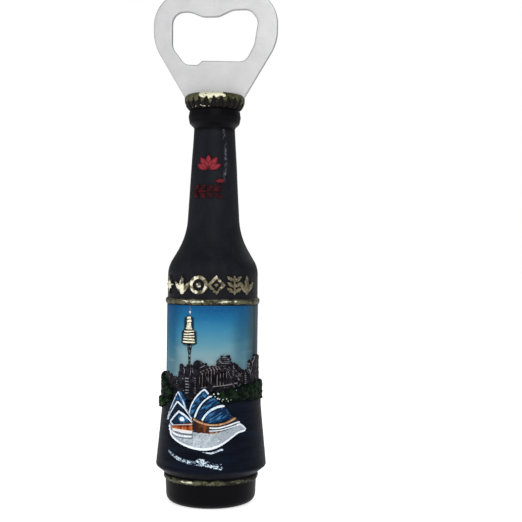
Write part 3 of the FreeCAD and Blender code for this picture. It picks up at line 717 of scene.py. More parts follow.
# ------------------------------------------------------------------ gold bands
def gold_band(name, node, seed):
    """Half-round bead carried round the bottle, its width and height varied by hand, ends sunk at the back."""
    low, high = node_box(node)
    mid, tall = (low[2] + high[2]) / 2, high[2] - low[2]
    seat = float(surface(mid))
    proud = -float(low[1]) - seat
    end = math.acos(-(BACK - 0.4) / (seat + proud))
    angle = np.linspace(-end, end, 420)
    section = np.linspace(-0.25 * np.pi, 1.25 * np.pi, 19)
    a, c = np.meshgrid(angle, section, indexing="ij")
    s = a * PATTERN_R
    uneven = 1 + 0.13 * cloud(s + 40, c * 0 + 3, 2.6, seed, 3)
    lift = 0.10 * cloud(s + 60, c * 0 + 9, 5.0, seed + 7, 2)
    r = seat + proud * uneven * np.sin(c)
    z = mid + lift + (-np.cos(c)) * tall / 2 * uneven * 0.98
    points = np.stack([r * np.sin(a), -r * np.cos(a), z], -1).reshape(-1, 3)
    columns = len(section)
    faces = grid_faces(len(angle), columns)[:, ::-1].tolist()
    last = (len(angle) - 1) * columns
    faces += [[i, i + columns - 1, i + 2 * columns - 1, i + columns] for i in range(0, last, columns)]
    faces += [list(range(columns)), list(range(last, last + columns))[::-1]]
    raised = 0.10 + 0.75 * np.sin(np.clip(c, 0, np.pi)) + 0.40 * cloud(s + 20, c * 2, 1.2, seed + 1, 3)
    # painted highlight: pale spots at given places round the bead, over rubbed wear from the clouds
    if node == "upper_gold_band":
        lit = 0.70 * step(0.42, 0.12, np.abs(a + 0.28)) + 0.45 * step(0.30, 0.10, np.abs(a - 0.52))
    else:
        lit = 0.66 * step(0.24, 0.05, np.abs(a + 0.36)) + 0.24 * step(0.5, 0.2, np.abs(a - 0.10)) - 0.16
        raised -= 0.10 + 0.30 * step(0.25, 0.95, np.abs(a + 0.2))
    # pale marks kept to the bead's upper front, where light falls: painted highlight
    facing = np.exp(-((c - 1.75) / 0.62) ** 2)
    rubbed = (0.10 + lit + 0.45 * cloud(s + 50, c * 1.2, 1.5, seed + 2, 3)) * facing
    return make_piece(name, node, points, faces, {"raised": raised, "rubbed": rubbed},
                      np.stack([s, z, r], -1), 60)


for band_name, band_node, band_seed in (("collar_gold_band", "upper_gold_band", 51),
                                        ("foot_gold_band", "lower_gold_band", 63)):
    coat(gold_band(band_name, band_node, band_seed),
         gold_paint("rubbed_" + band_name, (0.026, 0.027, 0.016), (0.125, 0.122, 0.072), (0.78, 0.76, 0.58),
                    seed=band_seed * 0.1, spread=(0.44, 0.66)))

# ------------------------------------------------------------------ sky label
TOWER_X = -4.2
SKY_HALF = LABEL_R * math.radians(69.0)
SKY_CORNER = 0.5


def draw_sky(s, z):
    """Rounded rectangle a film's thickness high, dark round the tower: partly dark paint, partly painted shade."""
    qx = np.abs(s) - SKY_HALF + SKY_CORNER
    qz = np.abs(z - (FILM_LOW[2] + FILM_HIGH[2]) / 2) - (FILM_HIGH[2] - FILM_LOW[2]) / 2 + SKY_CORNER
    d = np.hypot(np.maximum(qx, 0), np.maximum(qz, 0)) + np.minimum(np.maximum(qx, qz), 0) - SKY_CORNER
    rise = FILM * (0.5 + 0.5 * dome(d, 0.3)) + 0.012 * cloud(s + 50, z, 3.0, 71, 2)
    # the dark ring round the tower, set a little to its left: partly dark paint, partly painted shade
    tower_s = s - front_arc(TOWER_X, LABEL_R) + 0.35
    width = np.interp(z, [39, 45.0, 45.6, 46.0, 49.3, 49.9, 53.2, 53.5], [0.3, 0.5, 1.3, 2.05, 1.9, 1.1, 1.0, 0.0])
    outline = step(0.75, 0.30, np.abs(tower_s) - width) * (z < 53.9) * step(44.9, 45.9, z)
    return d, rise, {"outline": outline * 0.9}


coat(carved("sky_panel", "sky_label",
            (-SKY_HALF - 0.5, SKY_HALF + 0.5, FILM_LOW[2] - 0.4, FILM_HIGH[2] + 0.4), 0.2, draw_sky, LABEL_R, 0.3),
     sky_paint())

# ------------------------------------------------------------------ collar charms
CHARM_MID = sum(corner[2] for corner in node_box("collar_charms")) / 2
CHARM_SIZE = 1.10
CHARM_ANGLES = (-57.5, -31.0, -8.0, 13.5, 36.5, 55.0)


def star(u, w):
    """Eight-pointed star: corners whose distance from the middle runs long, notch, short, notch."""
    turn = np.pi * np.arange(16) / 8
    reach = np.tile([2.4, 0.95, 1.75, 0.95], 4)
    return outline_distance(u, w, np.stack([reach * np.sin(turn), reach * np.cos(turn)], 1))


def sprout(u, w):
    """Three-leaved shoot: pointed leaves from one foot."""
    shoots = (leaf(0, -2.45, 4.9, 1.5, 0), leaf(0, -2.1, 3.9, 1.25, 40), leaf(0, -2.1, 3.9, 1.25, -40))
    return union([outline_distance(u, w, shoot) for shoot in shoots] + [np.hypot(u, w + 1.9) - 0.6])


def sun(u, w):
    """Ring round a boss."""
    return union([np.abs(np.hypot(u, w) - 1.92) - 0.45, np.hypot(u, w) - 0.68])


def diamond(u, w):
    """Open diamond round a small one: constant sums of |u| and |w|."""
    far = (np.abs(u) + np.abs(w) * 0.94) * 0.73
    return union([np.abs(far - 1.33) - 0.38, far - 0.46])


def fern(u, w):
    """Upright frond: a stem and three pairs of leaflets."""
    stem = line_distance(u, w, [(0, -2.2), (0, 2.1)]) - 0.30
    return union([stem] + [outline_distance(u, w, leaf(0, foot, 2.45, 0.95, way))
                           for foot in (-1.95, -0.55, 0.85) for way in (57, -57)])


def draw_charms(s, z):
    """Six charms side by side, each with its own drawing, soft-edged and worn, with painted highlight on the left
    ones and the dome tops.
    """
    w = (z - CHARM_MID) / CHARM_SIZE
    distances = [kind((s - COLLAR_R * math.radians(degrees)) / CHARM_SIZE, w) * CHARM_SIZE - 0.05
                 for degrees, kind in zip(CHARM_ANGLES, (star, sprout, sun, diamond, fern, sprout))]
    d = union(distances) + 0.06 * grain(s + 30, z, 0.7, 91)
    rise = 0.30 + 0.24 * dome(d, 0.42) + 0.07 * cloud(s + 30, z, 1.0, 92, 2)
    # lighter gold on the left charms and the dome tops: partly rubbed wear, partly painted highlight
    left = step(8.0, -7.0, s)
    raised = 0.30 + 0.75 * dome(d, 0.34)
    raised = raised + 0.35 * cloud(s + 70, z, 0.8, 94, 3) - 0.2
    rubbed = 0.05 + 0.50 * left * step(0.2, 0.95, dome(d, 0.5)) + 0.42 * cloud(s + 9, z, 1.1, 93, 3)
    return d, rise, {"raised": raised, "rubbed": rubbed}


coat(carved("collar_charm_row", "collar_charms", (-15.4, 15.4, CHARM_MID - 3.2, CHARM_MID + 3.2),
            0.09, draw_charms, COLLAR_R, 0.5),
     gold_paint("charm_gold_wear_and_highlight", (0.045, 0.038, 0.020), (0.24, 0.21, 0.135), (0.78, 0.75, 0.60), seed=5.0))

# ------------------------------------------------------------------ red flower and leaves on the neck
FLOWER_X, FLOWER_Z = -0.5, 94.6
PETALS = ((0, 4.3, 2.0), (34, 4.4, 2.0), (-34, 4.4, 2.0), (66, 3.9, 1.9), (-66, 3.9, 1.9))


def draw_flower(s, z):
    """Open flower: five petals from one foot, each domed, with a cup below them."""
    parts = [outline_distance(s, z, leaf(FLOWER_X, FLOWER_Z, a, b, k)) for k, a, b in PETALS]
    cup = chaikin([(-3.0, 94.3), (-0.5, 95.4), (2.0, 94.3), (1.4, 96.8), (-2.4, 96.8)], 2)
    parts.append(outline_distance(s, z, cup))
    d = union(parts)
    rise = 0.22 + 0.24 * highest([dome(k, 0.85) for k in parts]) + 0.03 * cloud(s + 20, z, 0.8, 95, 2)
    seam = np.sort(np.stack([np.abs(k) for k in parts[:5]]), 0)[0]
    recess = step(0.16, 0.02, seam) * 0.75 + step(-0.10, 0.0, d) * 0.6
    return d, rise, {"recess": np.clip(recess, 0, 1), "tone": step(0.3, 1.0, dome(d, 1.2)), "brush": 0}


coat(carved("neck_red_flower", "neck_flower", (-4.8, 3.6, 93.6, 99.6), 0.08, draw_flower, NECK_R, 0.5),
     brushed_paint("flower_red", (0.120, 0.010, 0.016), (0.255, 0.026, 0.036), (0.34, 0.07, 0.07), rough=0.48,
                   dark=(0.016, 0.004, 0.006)))

TWIG = [(-5.5, 88.3), (-1.5, 88.5), (3.0, 88.6)]
LEAVES = [(foot, 88.4, 2.75, 1.35, way) for foot in (-4.9, -2.9, -0.9, 1.1) for way in (42, 136)]
LEAVES.append((1.1, 91.1, 3.1, 1.35, 80))


def draw_leaves(s, z):
    """Twig lying across the neck, four pairs of leaves along it, and one loose leaf above them."""
    parts = [outline_distance(s, z, leaf(*k)) for k in LEAVES] + [line_distance(s, z, TWIG) - 0.26]
    d = union(parts) + 0.05 * grain(s + 9, z, 0.6, 97)
    rise = 0.20 + 0.24 * highest([dome(k, 0.6) for k in parts]) + 0.05 * cloud(s + 20, z, 0.7, 98, 2)
    worn = step(-0.05, 0.45, cloud(s * 1.3 + 20, z * 1.3, 1.2, 99, 3))
    recess = np.clip(step(-0.16, 0.0, d) * 0.8 + (1 - worn) * 0.65 * (z < 91.2), 0, 1)
    return d, rise, {"recess": recess, "tone": step(90.5, 91.2, z) * 0.8,
                     "brush": worn * step(0.5, 1.0, dome(d, 0.5)) * 0.35}


coat(carved("neck_red_leaves", "neck_leaves", (-6.6, 4.6, 86.0, 92.8), 0.08, draw_leaves, NECK_R, 0.5),
     brushed_paint("leaf_red", (0.060, 0.006, 0.009), (0.150, 0.014, 0.020), (0.30, 0.10, 0.10),
                   dark=(0.007, 0.004, 0.005)))

# ------------------------------------------------------------------ observation tower
TOWER_Y = -math.sqrt(LABEL_R ** 2 - TOWER_X ** 2)


def tower_part(name, node, rows, sunk, turns, raised, rubbed):
    """Surface turned about the tower's own axis, squashed front to back and closed at both ends."""
    rows = np.array(rows, float)
    a, row = np.meshgrid(np.linspace(0, 2 * np.pi, turns, endpoint=False), np.arange(len(rows)))
    r, z = rows[row, 0], rows[row, 1]
    lumpy = 1 + 0.07 * grain(a * 2 + 5, z * 2, 0.8, 17)
    lean = 0.10 * np.sin(a) * np.sin(z * 1.7) + 0.06 * grain(a * 2 + 9, z, 0.9, 18)
    points = np.stack([TOWER_X + r * lumpy * np.sin(a), TOWER_Y + sunk - r * lumpy * 0.85 * np.cos(a), z + lean], -1)
    # gold only on the front half, the sides left dark: partly dark paint, partly painted shade; painted highlight
    # towards the left front
    front = step(0.0, 0.5, np.cos(a + 0.12))
    worn = grain(a * 3 + 5, z * 1.5, 0.9, 19)
    masks = {"raised": np.array(raised)[row] * front * (0.9 + 0.3 * worn) + 0.05,
             "rubbed": rubbed + 0.35 * np.cos(a + 0.3) + 0.3 * worn}
    return make_piece(name, node, points.reshape(-1, 3),
                      tube_faces(len(rows), turns), masks, np.stack([a * r, z, r], -1), 50)


def turret_rows():
    """Five stacked rings, a tapering neck, and a two-step cap; the paint sits on what stands out."""
    low, high = (float(corner[2]) for corner in node_box("tower_turret"))
    rows, raised = [(0.55, low - 0.1), (0.95, low + 0.1), (1.5, low + 0.45)], [0.0, 0.0, 0.05]
    for i in range(5):
        z = low + 0.62 + i * 0.74
        r = 2.03 - 0.07 * i
        for dr, dz, gold in ((-0.34, -0.10, 0.0), (-0.12, 0.0, 0.1), (0.0, 0.12, 1.0), (0.0, 0.38, 1.0),
                             (-0.12, 0.47, 0.2), (-0.36, 0.54, 0.0)):
            rows.append((r + dr, z + dz))
            raised.append(gold)
    rows += [(1.40, low + 4.30), (1.28, low + 4.42), (1.30, low + 4.60), (1.14, low + 4.72), (1.02, low + 5.5),
             (0.98, low + 6.0), (0.95, low + 6.35), (1.00, low + 6.42), (1.08, low + 6.5), (1.08, low + 6.95),
             (0.98, low + 7.05), (0.82, low + 7.10), (0.82, low + 7.22), (1.02, low + 7.30), (1.02, high - 0.12),
             (0.90, high), (0.30, high)]
    raised += [0.2, 0.8, 0.9, 0.8, 0.75, 0.6, 0.35, 0.5, 1.0, 1.0, 0.6, 0.0, 0.0, 0.8, 1.0, 1.0, 0.8]
    return rows, raised


turret_profile, turret_gold = turret_rows()
coat(tower_part("tower_gold_turret", "tower_turret", turret_profile, 0.75, 72, turret_gold, 0.5),
     gold_paint("turret_cream_gold", (0.19, 0.140, 0.050), (0.50, 0.42, 0.23), (0.88, 0.84, 0.64),
                dark=(0.006, 0.006, 0.006), seed=7.0, spread=(0.34, 0.58)))

mast_low, mast_high = (corner[2] for corner in node_box("tower_mast"))
mast_profile = [(0.05, mast_low - 0.1), (0.26, mast_low), (0.25, 54.4), (0.30, 54.6), (0.30, 54.9), (0.22, 55.0),
                (0.20, mast_high - 0.1), (0.05, mast_high)]
coat(tower_part("tower_grey_mast", "tower_mast", mast_profile, 0.05, 24, [0.2, 0.3, 0.3, 1, 1, 0.4, 0.3, 0.3], 0.6),
     gold_paint("mast_grey", (0.10, 0.12, 0.15), (0.30, 0.34, 0.40), (0.6, 0.65, 0.7), dark=(0.03, 0.07, 0.14),
                seed=8.0))

shaft_low, shaft_high = (corner[2] for corner in node_box("tower_shaft"))
shaft_z = np.linspace(shaft_low - 0.3, shaft_high + 0.15, 24)
shaft_profile = [(0.42 + 0.34 * step(42.5, 45.6, k), k) for k in shaft_z]
shaft_profile[0], shaft_profile[-1] = (0.1, shaft_z[0]), (0.1, shaft_z[-1])
shaft_marks = [0.1] + [0.28 + 0.3 * (i % 5 == 0) for i in range(22)] + [0.1]
coat(tower_part("tower_dark_shaft", "tower_shaft", shaft_profile, 0.15, 40, shaft_marks, 0.2),
     gold_paint("shaft_slate", (0.045, 0.060, 0.070), (0.11, 0.13, 0.14), (0.34, 0.36, 0.36),
                dark=(0.008, 0.012, 0.016), seed=9.0))

# ------------------------------------------------------------------ skyline
ARCH_MID, ARCH_HALF, ARCH_RISE, ARCH_FOOT = 3.9, 6.4, 2.95, 37.0


def arch(x, foot):
    """Parabola: foot height plus the rise at mid span, falling with the square of the distance from it."""
    return foot + ARCH_RISE * (1 - ((x - ARCH_MID) / ARCH_HALF) ** 2)


def deck(x):
    """Height of the roadway: a straight line rising to the right."""
    return 33.95 + (x + 1.2) * 0.125


# height of each block above the label, its left and right side, and its roof line
CITY_FOOT = 30.8
CITY_EDGE = 13.69
BLOCKS = (
    (0.16, -13.7, CITY_EDGE, [(-13.7, 35.6), (-11.0, 36.2), (-9.4, 36.7), (-8.0, 36.6), (0.0, 36.0), (9.0, 36.0),
                              (13.69, 36.0)]),
    (0.30, -13.7, -9.0, [(-13.7, 35.6), (-13.2, 36.9), (-12.5, 37.4), (-11.9, 37.0), (-11.5, 38.1), (-11.2, 37.1),
                         (-10.6, 36.9), (-10.2, 37.5), (-9.9, 36.5), (-9.2, 36.3)]),
    (0.42, -9.3, -2.9, [(-8.7, 35.8), (-7.8, 36.9), (-7.55, 38.0), (-7.30, 38.3), (-7.25, 40.0), (-6.9, 40.25),
                        (-6.2, 39.9), (-6.1, 39.6), (-5.2, 39.65), (-5.1, 40.15), (-3.9, 40.3), (-3.0, 40.1)]),
    (0.58, -3.2, 1.0, [(-3.15, 40.3), (-2.9, 41.0), (-2.4, 41.3), (-2.2, 41.65), (-1.5, 41.45), (-0.9, 41.35),
                       (-0.3, 40.8), (0.1, 40.3), (0.5, 40.9), (0.8, 40.5)]),
    (0.34, 0.8, 3.8, [(0.9, 40.2), (1.6, 39.9), (2.4, 40.1), (3.2, 39.9), (3.8, 40.1)]),
    (0.66, 3.5, 7.9, [(3.4, 40.6), (3.85, 40.8), (3.5, 41.2), (3.75, 41.6), (4.1, 41.5), (4.0, 42.1), (4.6, 42.3),
                      (4.7, 42.75), (5.6, 42.7), (6.3, 42.95), (7.1, 42.8), (7.0, 42.2), (7.35, 41.9), (7.1, 41.4),
                      (7.5, 41.0), (7.9, 41.0)]),
    (0.48, 7.7, 10.4, [(7.8, 40.6), (8.2, 40.9), (8.7, 40.5), (9.1, 40.4), (9.5, 39.7), (9.7, 39.9), (9.9, 39.1),
                       (10.4, 38.7)]),
    (0.28, 10.2, 11.6, [(10.2, 38.0), (10.5, 38.8), (10.9, 38.2), (11.2, 38.9), (11.5, 37.9)]),
    (0.55, 11.3, CITY_EDGE, [(11.35, 37.6), (11.7, 38.1), (11.5, 39.3), (11.75, 40.0), (11.6, 40.9), (11.9, 41.6),
                             (12.15, 41.0), (12.3, 40.3), (12.6, 41.6), (12.9, 42.5), (13.4, 42.35), (13.69, 42.4)]),
)
city_loops = [(height, unroll([(left, CITY_FOOT), *roof, (right, CITY_FOOT)], CITY_R))
              for height, left, right, roof in BLOCKS]
# middle, half width, foot, top, pitch and strength of each ladder of windows
LADDERS = (
    (-4.85, 0.72, 31.8, 36.8, 0.80, 0.80), (-2.35, 0.22, 32.0, 36.9, 0.70, 0.8),
    (11.0, 0.42, 33.2, 38.5, 0.55, 0.8), (12.5, 0.30, 33.4, 36.4, 0.55, 0.6),
    (-5.8, 0.20, 37.2, 39.2, 0.75, 0.5), (-10.9, 0.35, 33.6, 36.6, 0.60, 0.6),
    (-12.2, 0.25, 33.4, 36.0, 0.65, 0.6), (-8.0, 0.28, 32.6, 35.6, 0.65, 0.6),
    (-6.6, 0.25, 31.6, 35.0, 0.70, 0.5))
# heights of the roof tiers, and which block carries them
TIERS = (40.85, 41.35, 41.85, 42.35)
TIERED = 5
STRIPS = tuple(unroll(p, CITY_R) for p in (
    [(-3.85, 40.0), (-3.7, 38.8), (-3.9, 37.4)], [(-3.3, 39.5), (-3.2, 38.2)],
    [(-1.2, 39.4), (-0.3, 39.9), (0.3, 40.2)], [(-6.0, 39.2), (-5.6, 38.7), (-5.7, 37.9)],
    [(-1.0, 41.2), (-0.6, 40.6)], [(12.9, 42.1), (12.5, 40.6), (12.2, 38.8)], [(13.3, 41.0), (13.1, 38.0)],
    [(8.9, 40.3), (9.6, 39.6)], [(12.0, 38.4), (11.9, 36.9)]))
LATTICE = tuple(unroll(p, CITY_R) for p in (
    [(3.9, 40.0), (5.0, 38.6), (5.6, 39.6), (6.8, 38.0)], [(4.6, 40.2), (5.6, 40.0), (7.2, 38.4)],
    [(6.6, 39.8), (8.6, 37.3), (9.6, 35.7)], [(6.9, 36.8), (8.6, 35.2), (9.9, 33.6)],
    [(6.4, 37.8), (8.0, 36.2)], [(8.4, 38.8), (9.8, 36.9)], [(7.2, 35.4), (8.2, 34.2), (8.8, 33.0)]))
# window lights
DOTS = (
    (7.9, 37.6), (8.8, 37.1), (9.3, 36.1), (6.5, 39.0), (9.9, 37.8), (-6.1, 36.3), (-2.4, 36.6), (5.2, 39.9),
    (8.0, 39.3), (8.1, 33.4), (-5.9, 33.0), (9.6, 34.8), (4.6, 41.1), (6.4, 41.9))


def rungs(s, z, mid, half, low, high, pitch, strength):
    """Ladder of short level strokes: a band about each multiple of the pitch, inside the half width."""
    inside = step(half, half - 0.15, np.abs(s - front_arc(mid, CITY_R))) * (z > low) * (z < high)
    return strength * inside * step(0.30, 0.18, np.abs((z / pitch) % 1.0 - 0.5))


def draw_city(s, z):
    """Blocks of different depth side by side, the nearer hiding the farther, with ladders of windows, roof tiers,
    a lattice of slanting lines at the right, and rough roof lines."""
    ragged = 0.16 * cloud(s + 60, z, 0.55, 46, 2)
    parts = [outline_distance(s, z, loop) + ragged * (z > 35) for _, loop in city_loops]
    d = union(parts)
    level = highest([np.where(k < 0.05, h * (0.7 + 0.3 * dome(k, 0.25)), 0.05)
                     for k, (h, _) in zip(parts, city_loops)])
    marks = highest([rungs(s, z, *k) for k in LADDERS])
    marks = np.maximum(marks, step(0.20, 0.08, nearest(s, z, STRIPS)) * 0.8)
    marks = np.maximum(marks, step(0.17, 0.05, nearest(s, z, LATTICE)) * 0.75)
    spots = union([np.hypot(s - front_arc(x, CITY_R), z - up) for x, up in DOTS])
    marks = np.maximum(marks, step(0.24, 0.12, spots) * 1.1)
    hump = 0.10 * (s - 6.0) ** 2
    tiers = highest([step(0.16, 0.06, np.abs(z + hump * 0.35 - k)) for k in TIERS])
    marks = np.maximum(marks, tiers * (parts[TIERED] < -0.1) * (z > 40.4) * 0.7)
    roof = step(-0.26, -0.08, d) * step(0.05, -0.03, d) * (z > 35.5)
    broken = 0.5 + 0.9 * grain(s + 50, z, 0.8, 45)
    marks = np.maximum(marks, 0.55 * step(0.50, 1.05, cloud(s + 90, z * 0.8, 0.42, 48, 2)))
    marks = np.clip(np.maximum(marks * (0.75 + 0.4 * broken), roof * broken * 0.75), 0, 1.1)
    rough = cloud(s + 60, z, 0.9, 44, 3)
    span = (d < 0) * (z < arch(s, 37.1)) * (z > deck(s) + 0.1) * (s > -2.4) * (s < 6.6)
    rise = FILM + level + 0.07 * marks + 0.08 * rough - 0.25 * step(31.8, 30.9, z) - 0.10 * span
    tone = np.clip(0.4 + 0.5 * rough, 0, 1)
    recess = np.clip(step(0.15, -0.25, rough) * 0.45 + span * 0.6, 0, 1)
    return d, rise, {"brush": marks, "tone": tone, "recess": recess * (1 - np.clip(marks, 0, 1))}


CITY_SPAN = front_arc(CITY_EDGE, CITY_R) + 0.3
coat(carved("city_blocks", "skyline_blocks", (-CITY_SPAN, CITY_SPAN, 30.4, 43.4), 0.1, draw_city,
            CITY_R, 0.3),
     brushed_paint("city_charcoal", (0.0052, 0.0058, 0.0085), (0.0205, 0.0190, 0.0260), (0.185, 0.188, 0.215),
                   dark=(0.0014, 0.0014, 0.0026)))

# ------------------------------------------------------------------ arch bridge
def bridge_bars():
    """Every bar of the bridge as a path, a half width and how bright its brush mark is."""
    xs = np.linspace(ARCH_MID - ARCH_HALF, ARCH_MID + ARCH_HALF, 25)
    bars = [(np.stack([xs, arch(xs, ARCH_FOOT)], 1), 0.15, 0.55),
            (np.stack([xs, arch(xs, ARCH_FOOT - 0.75)], 1), 0.12, 0.45),
            (np.array([(-1.6, deck(-1.6)), (9.0, deck(9.0))]), 0.15, 0.8)]
    for x in np.linspace(-1.2, 6.2, 10):
        top = float(arch(x, ARCH_FOOT - 0.45))
        hook = [(x, deck(x)), (x + 0.05, top - 0.5), (x - 0.12, top - 0.1), (x - 0.45, top + 0.12)]
        bars.append((np.array(hook), 0.10, 0.95 if 0 < x < 5.3 else 0.7))
    for x in np.linspace(6.6, 9.0, 4):
        bars.append((np.array([(x, arch(x, ARCH_FOOT)), (x + 1.0, deck(x) + 0.3)]), 0.09, 0.6))
        bars.append((np.array([(x + 0.7, arch(x + 0.7, ARCH_FOOT)), (x - 0.4, deck(x) + 1.0)]), 0.08, 0.5))
    return [(unroll(p, SPAN_R), w, b) for p, w, b in bars]


bars = bridge_bars()


def draw_bridge(s, z):
    """Round bars joined into an arch bridge, standing just proud of the blocks behind."""
    parts = [line_distance(s, z, p) - w for p, w, _ in bars]
    d = union(parts)
    city_distance, city_height, _ = draw_city(s, z)
    city_rise = np.where(city_distance < 0.05, city_height, FILM)
    bright = highest([np.where(k < 0.1, b, 0) for k, (_, _, b) in zip(parts, bars)])
    rise = np.maximum(city_rise, 0.62) + 0.10 + 0.16 * dome(d, 0.16)
    patchy = step(-0.55, 0.45, grain(s + 40, z, 1.1, 47))
    return d, rise, {"brush": bright * (0.42 + 0.55 * patchy), "tone": 0.5, "recess": 0.3 * (1 - patchy)}


coat(carved("bridge_span", "arch_bridge", (-3.2, 11.6, 33.3, 41.0), 0.075, draw_bridge, SPAN_R, 0.2),
     brushed_paint("bridge_dry_brushed", (0.012, 0.009, 0.012), (0.045, 0.034, 0.037), (0.21, 0.185, 0.185)))

# ------------------------------------------------------------------ trees
# white blossoms: place and radius
TREE_DOTS = (
    (2.95, 32.40, 0.30), (4.15, 32.50, 0.34), (3.30, 31.70, 0.24), (4.05, 31.20, 0.34), (4.60, 31.00, 0.26),
    (5.55, 30.85, 0.24), (5.30, 30.45, 0.20), (6.50, 31.05, 0.24), (6.95, 30.50, 0.18), (7.90, 30.75, 0.17),
    (9.40, 33.30, 0.16))


def tree_lumps(low_s, high_s, top, bottom, seed, size):
    """Centres and sizes of leafy lumps, scattered between two heights that vary along the bank."""
    rng = np.random.default_rng(seed)
    lumps = []
    s = low_s
    while s < high_s:
        z = float(np.interp(s, *bottom))
        roof = float(np.interp(s, *top))
        while z < roof:
            r = rng.uniform(size * 0.7, size * 1.3)
            lumps.append((s + rng.uniform(-0.5, 0.5), min(z, roof - r * 0.75) + rng.uniform(-0.2, 0.2), r))
            rng.uniform()  # a draw kept for the places of the lumps that follow
            z += r * 1.05
        s += size
    return np.array(lumps)


def tree_paint(name):
    """Stippled foliage: blackish green, mid green on the lumps, bright sprigs, and a few white dots."""
    p = Paint(name)
    fine = p.flecks((1.2, 1.2), 2.2, 4.0)
    base = p.mix((0.0020, 0.0055, 0.0032), (0.0080, 0.022, 0.0085),
                 p.step(0.38, 0.70, fine * 0.6 + p.mask("tone") * 0.4))
    base = p.mix(base, (0.028, 0.085, 0.014), p.step(0.42, 0.68, p.mask("brush") * 0.7 + (fine - 0.5) * 1.1))
    base = p.mix(base, (0.0012, 0.0026, 0.0024), p.mask("recess"))
    base = p.mix(base, (0.62, 0.68, 0.66), p.step(0.35, 0.65, p.mask("dots") + (fine - 0.5) * 0.6))
    return p.satin(base, 0.52 + fine * 0.12, fine, 0.12, 0.8)


def draw_trees(lumps, seed):
    """Height is the highest of many round lumps, roughened into leaves."""
    def draw(s, z):
        far = np.hypot(s[..., None] - lumps[:, 0], z[..., None] - lumps[:, 1])
        leafy = cloud(s * 1.2 + 60, z * 1.2, 0.9, seed, 3)
        d = (far - lumps[:, 2]).min(-1) + 0.22 * leafy
        level = np.sqrt(np.clip(lumps[:, 2] ** 2 - far ** 2, 0, None)).max(-1)
        ledge = np.maximum(BARREL_R + 0.5 - surface(z), 0)
        rise = ledge + 0.20 + level * 0.75 + 0.14 * leafy
        tone = np.clip(level * 0.55 + 0.5 * leafy, 0, 1)
        sprig = step(0.2, 0.7, leafy) * step(0.3, 0.7, level)
        low_left = step(33.0, 29.5, z) * (s < 0)
        dots = highest([step(k, k * 0.45, np.hypot(s - a, z - b)) for a, b, k in TREE_DOTS])
        recess = step(0.5, 0.15, level) * 0.7 + 0.55 * (1 - low_left) * step(0.1, -0.4, leafy)
        return d, rise + 0.12 * dots, {"brush": sprig * (0.28 + 0.72 * low_left), "tone": tone, "dots": dots,
                                       "recess": np.clip(recess, 0, 1)}
    return draw


# name, node, where its lumps run from and to, their top and bottom lines, seed and size; window, seed of the leaves
BANKS = (
    ("left_tree_bank", "left_trees",
     (-23.5, -11.6, ([-24, -21, -19, -17.5, -15.5, -13.5, -11.5], [35.2, 36.2, 37.2, 36.6, 34.6, 33.8, 32.6]),
      ([-24, -18, -14, -11.5], [28.3, 28.0, 29.6, 30.9]), 5, 0.95), (-25.0, -10.2, 26.4, 38.4), 61),
    ("right_tree_bank", "right_trees",
     (2.6, 24.0, ([2, 5, 7, 10, 14, 17, 20, 24], [32.6, 32.9, 33.5, 33.9, 34.4, 35.2, 35.6, 35.0]),
      ([2, 24], [30.9, 30.9]), 6, 0.85), (1.2, 25.4, 29.2, 37.0), 67))
for bank_name, bank_node, run, bank_window, leaf_seed in BANKS:
    coat(carved(bank_name, bank_node, bank_window, 0.12, draw_trees(tree_lumps(*run), leaf_seed),
                TREE_R, 0.4),
         tree_paint("paint_" + bank_name))

# ------------------------------------------------------------------ boat
def sail(points):
    """Closed sail outline with its corners cut once, unrolled."""
    return unroll(chaikin(points, 1), BOAT_R)


def stacked(s, z, loops):
    """Distance to each of three sails, each in front of the last, and the number of the one in front."""
    parts = [outline_distance(s, z, loop) for loop in loops]
    return parts, np.where(parts[2] < 0, 2, np.where(parts[1] < 0, 1, 0))


def pick(which, values):
    """The value that goes with the sail in front."""
    return np.select([which == 2, which == 1], [values[2], values[1]], values[0])


FORE = (
    sail([(-7.9, 33.1), (-6.3, 31.3), (-5.35, 28.8), (-4.6, 26.6), (-7.0, 24.3), (-12.2, 24.0), (-11.4, 26.2),
          (-10.2, 28.8), (-8.8, 31.5)]),
    sail([(-7.7, 30.6), (-6.0, 29.0), (-4.4, 27.4), (-2.7, 25.0), (-6.0, 23.6), (-11.4, 24.2), (-10.4, 26.4),
          (-9.2, 28.4)]),
    sail([(-6.95, 27.95), (-5.5, 27.0), (-4.1, 26.0), (-2.4, 24.4), (-5.0, 23.3), (-8.6, 22.8), (-10.2, 24.1),
          (-9.0, 25.7), (-7.9, 27.0)]),
)
FORE_EDGES = tuple(unroll(p, BOAT_R) for p in (
    [(-11.7, 24.5), (-10.7, 27.2), (-9.3, 30.1), (-7.9, 32.65), (-6.35, 30.6), (-5.35, 28.3), (-4.9, 27.0)],
    [(-11.0, 24.8), (-9.8, 27.2), (-7.75, 30.1), (-5.3, 28.2), (-3.9, 26.7), (-2.9, 25.0)],
    [(-8.5, 23.1), (-9.85, 24.2), (-8.75, 25.6), (-7.0, 27.4), (-5.0, 26.45), (-3.8, 25.5), (-2.65, 24.6)]))
FORE_WIDTHS = (0.15, 0.22, 0.26)
BALL_S, BALL_Z = front_arc(-5.95, BOAT_R), 25.35


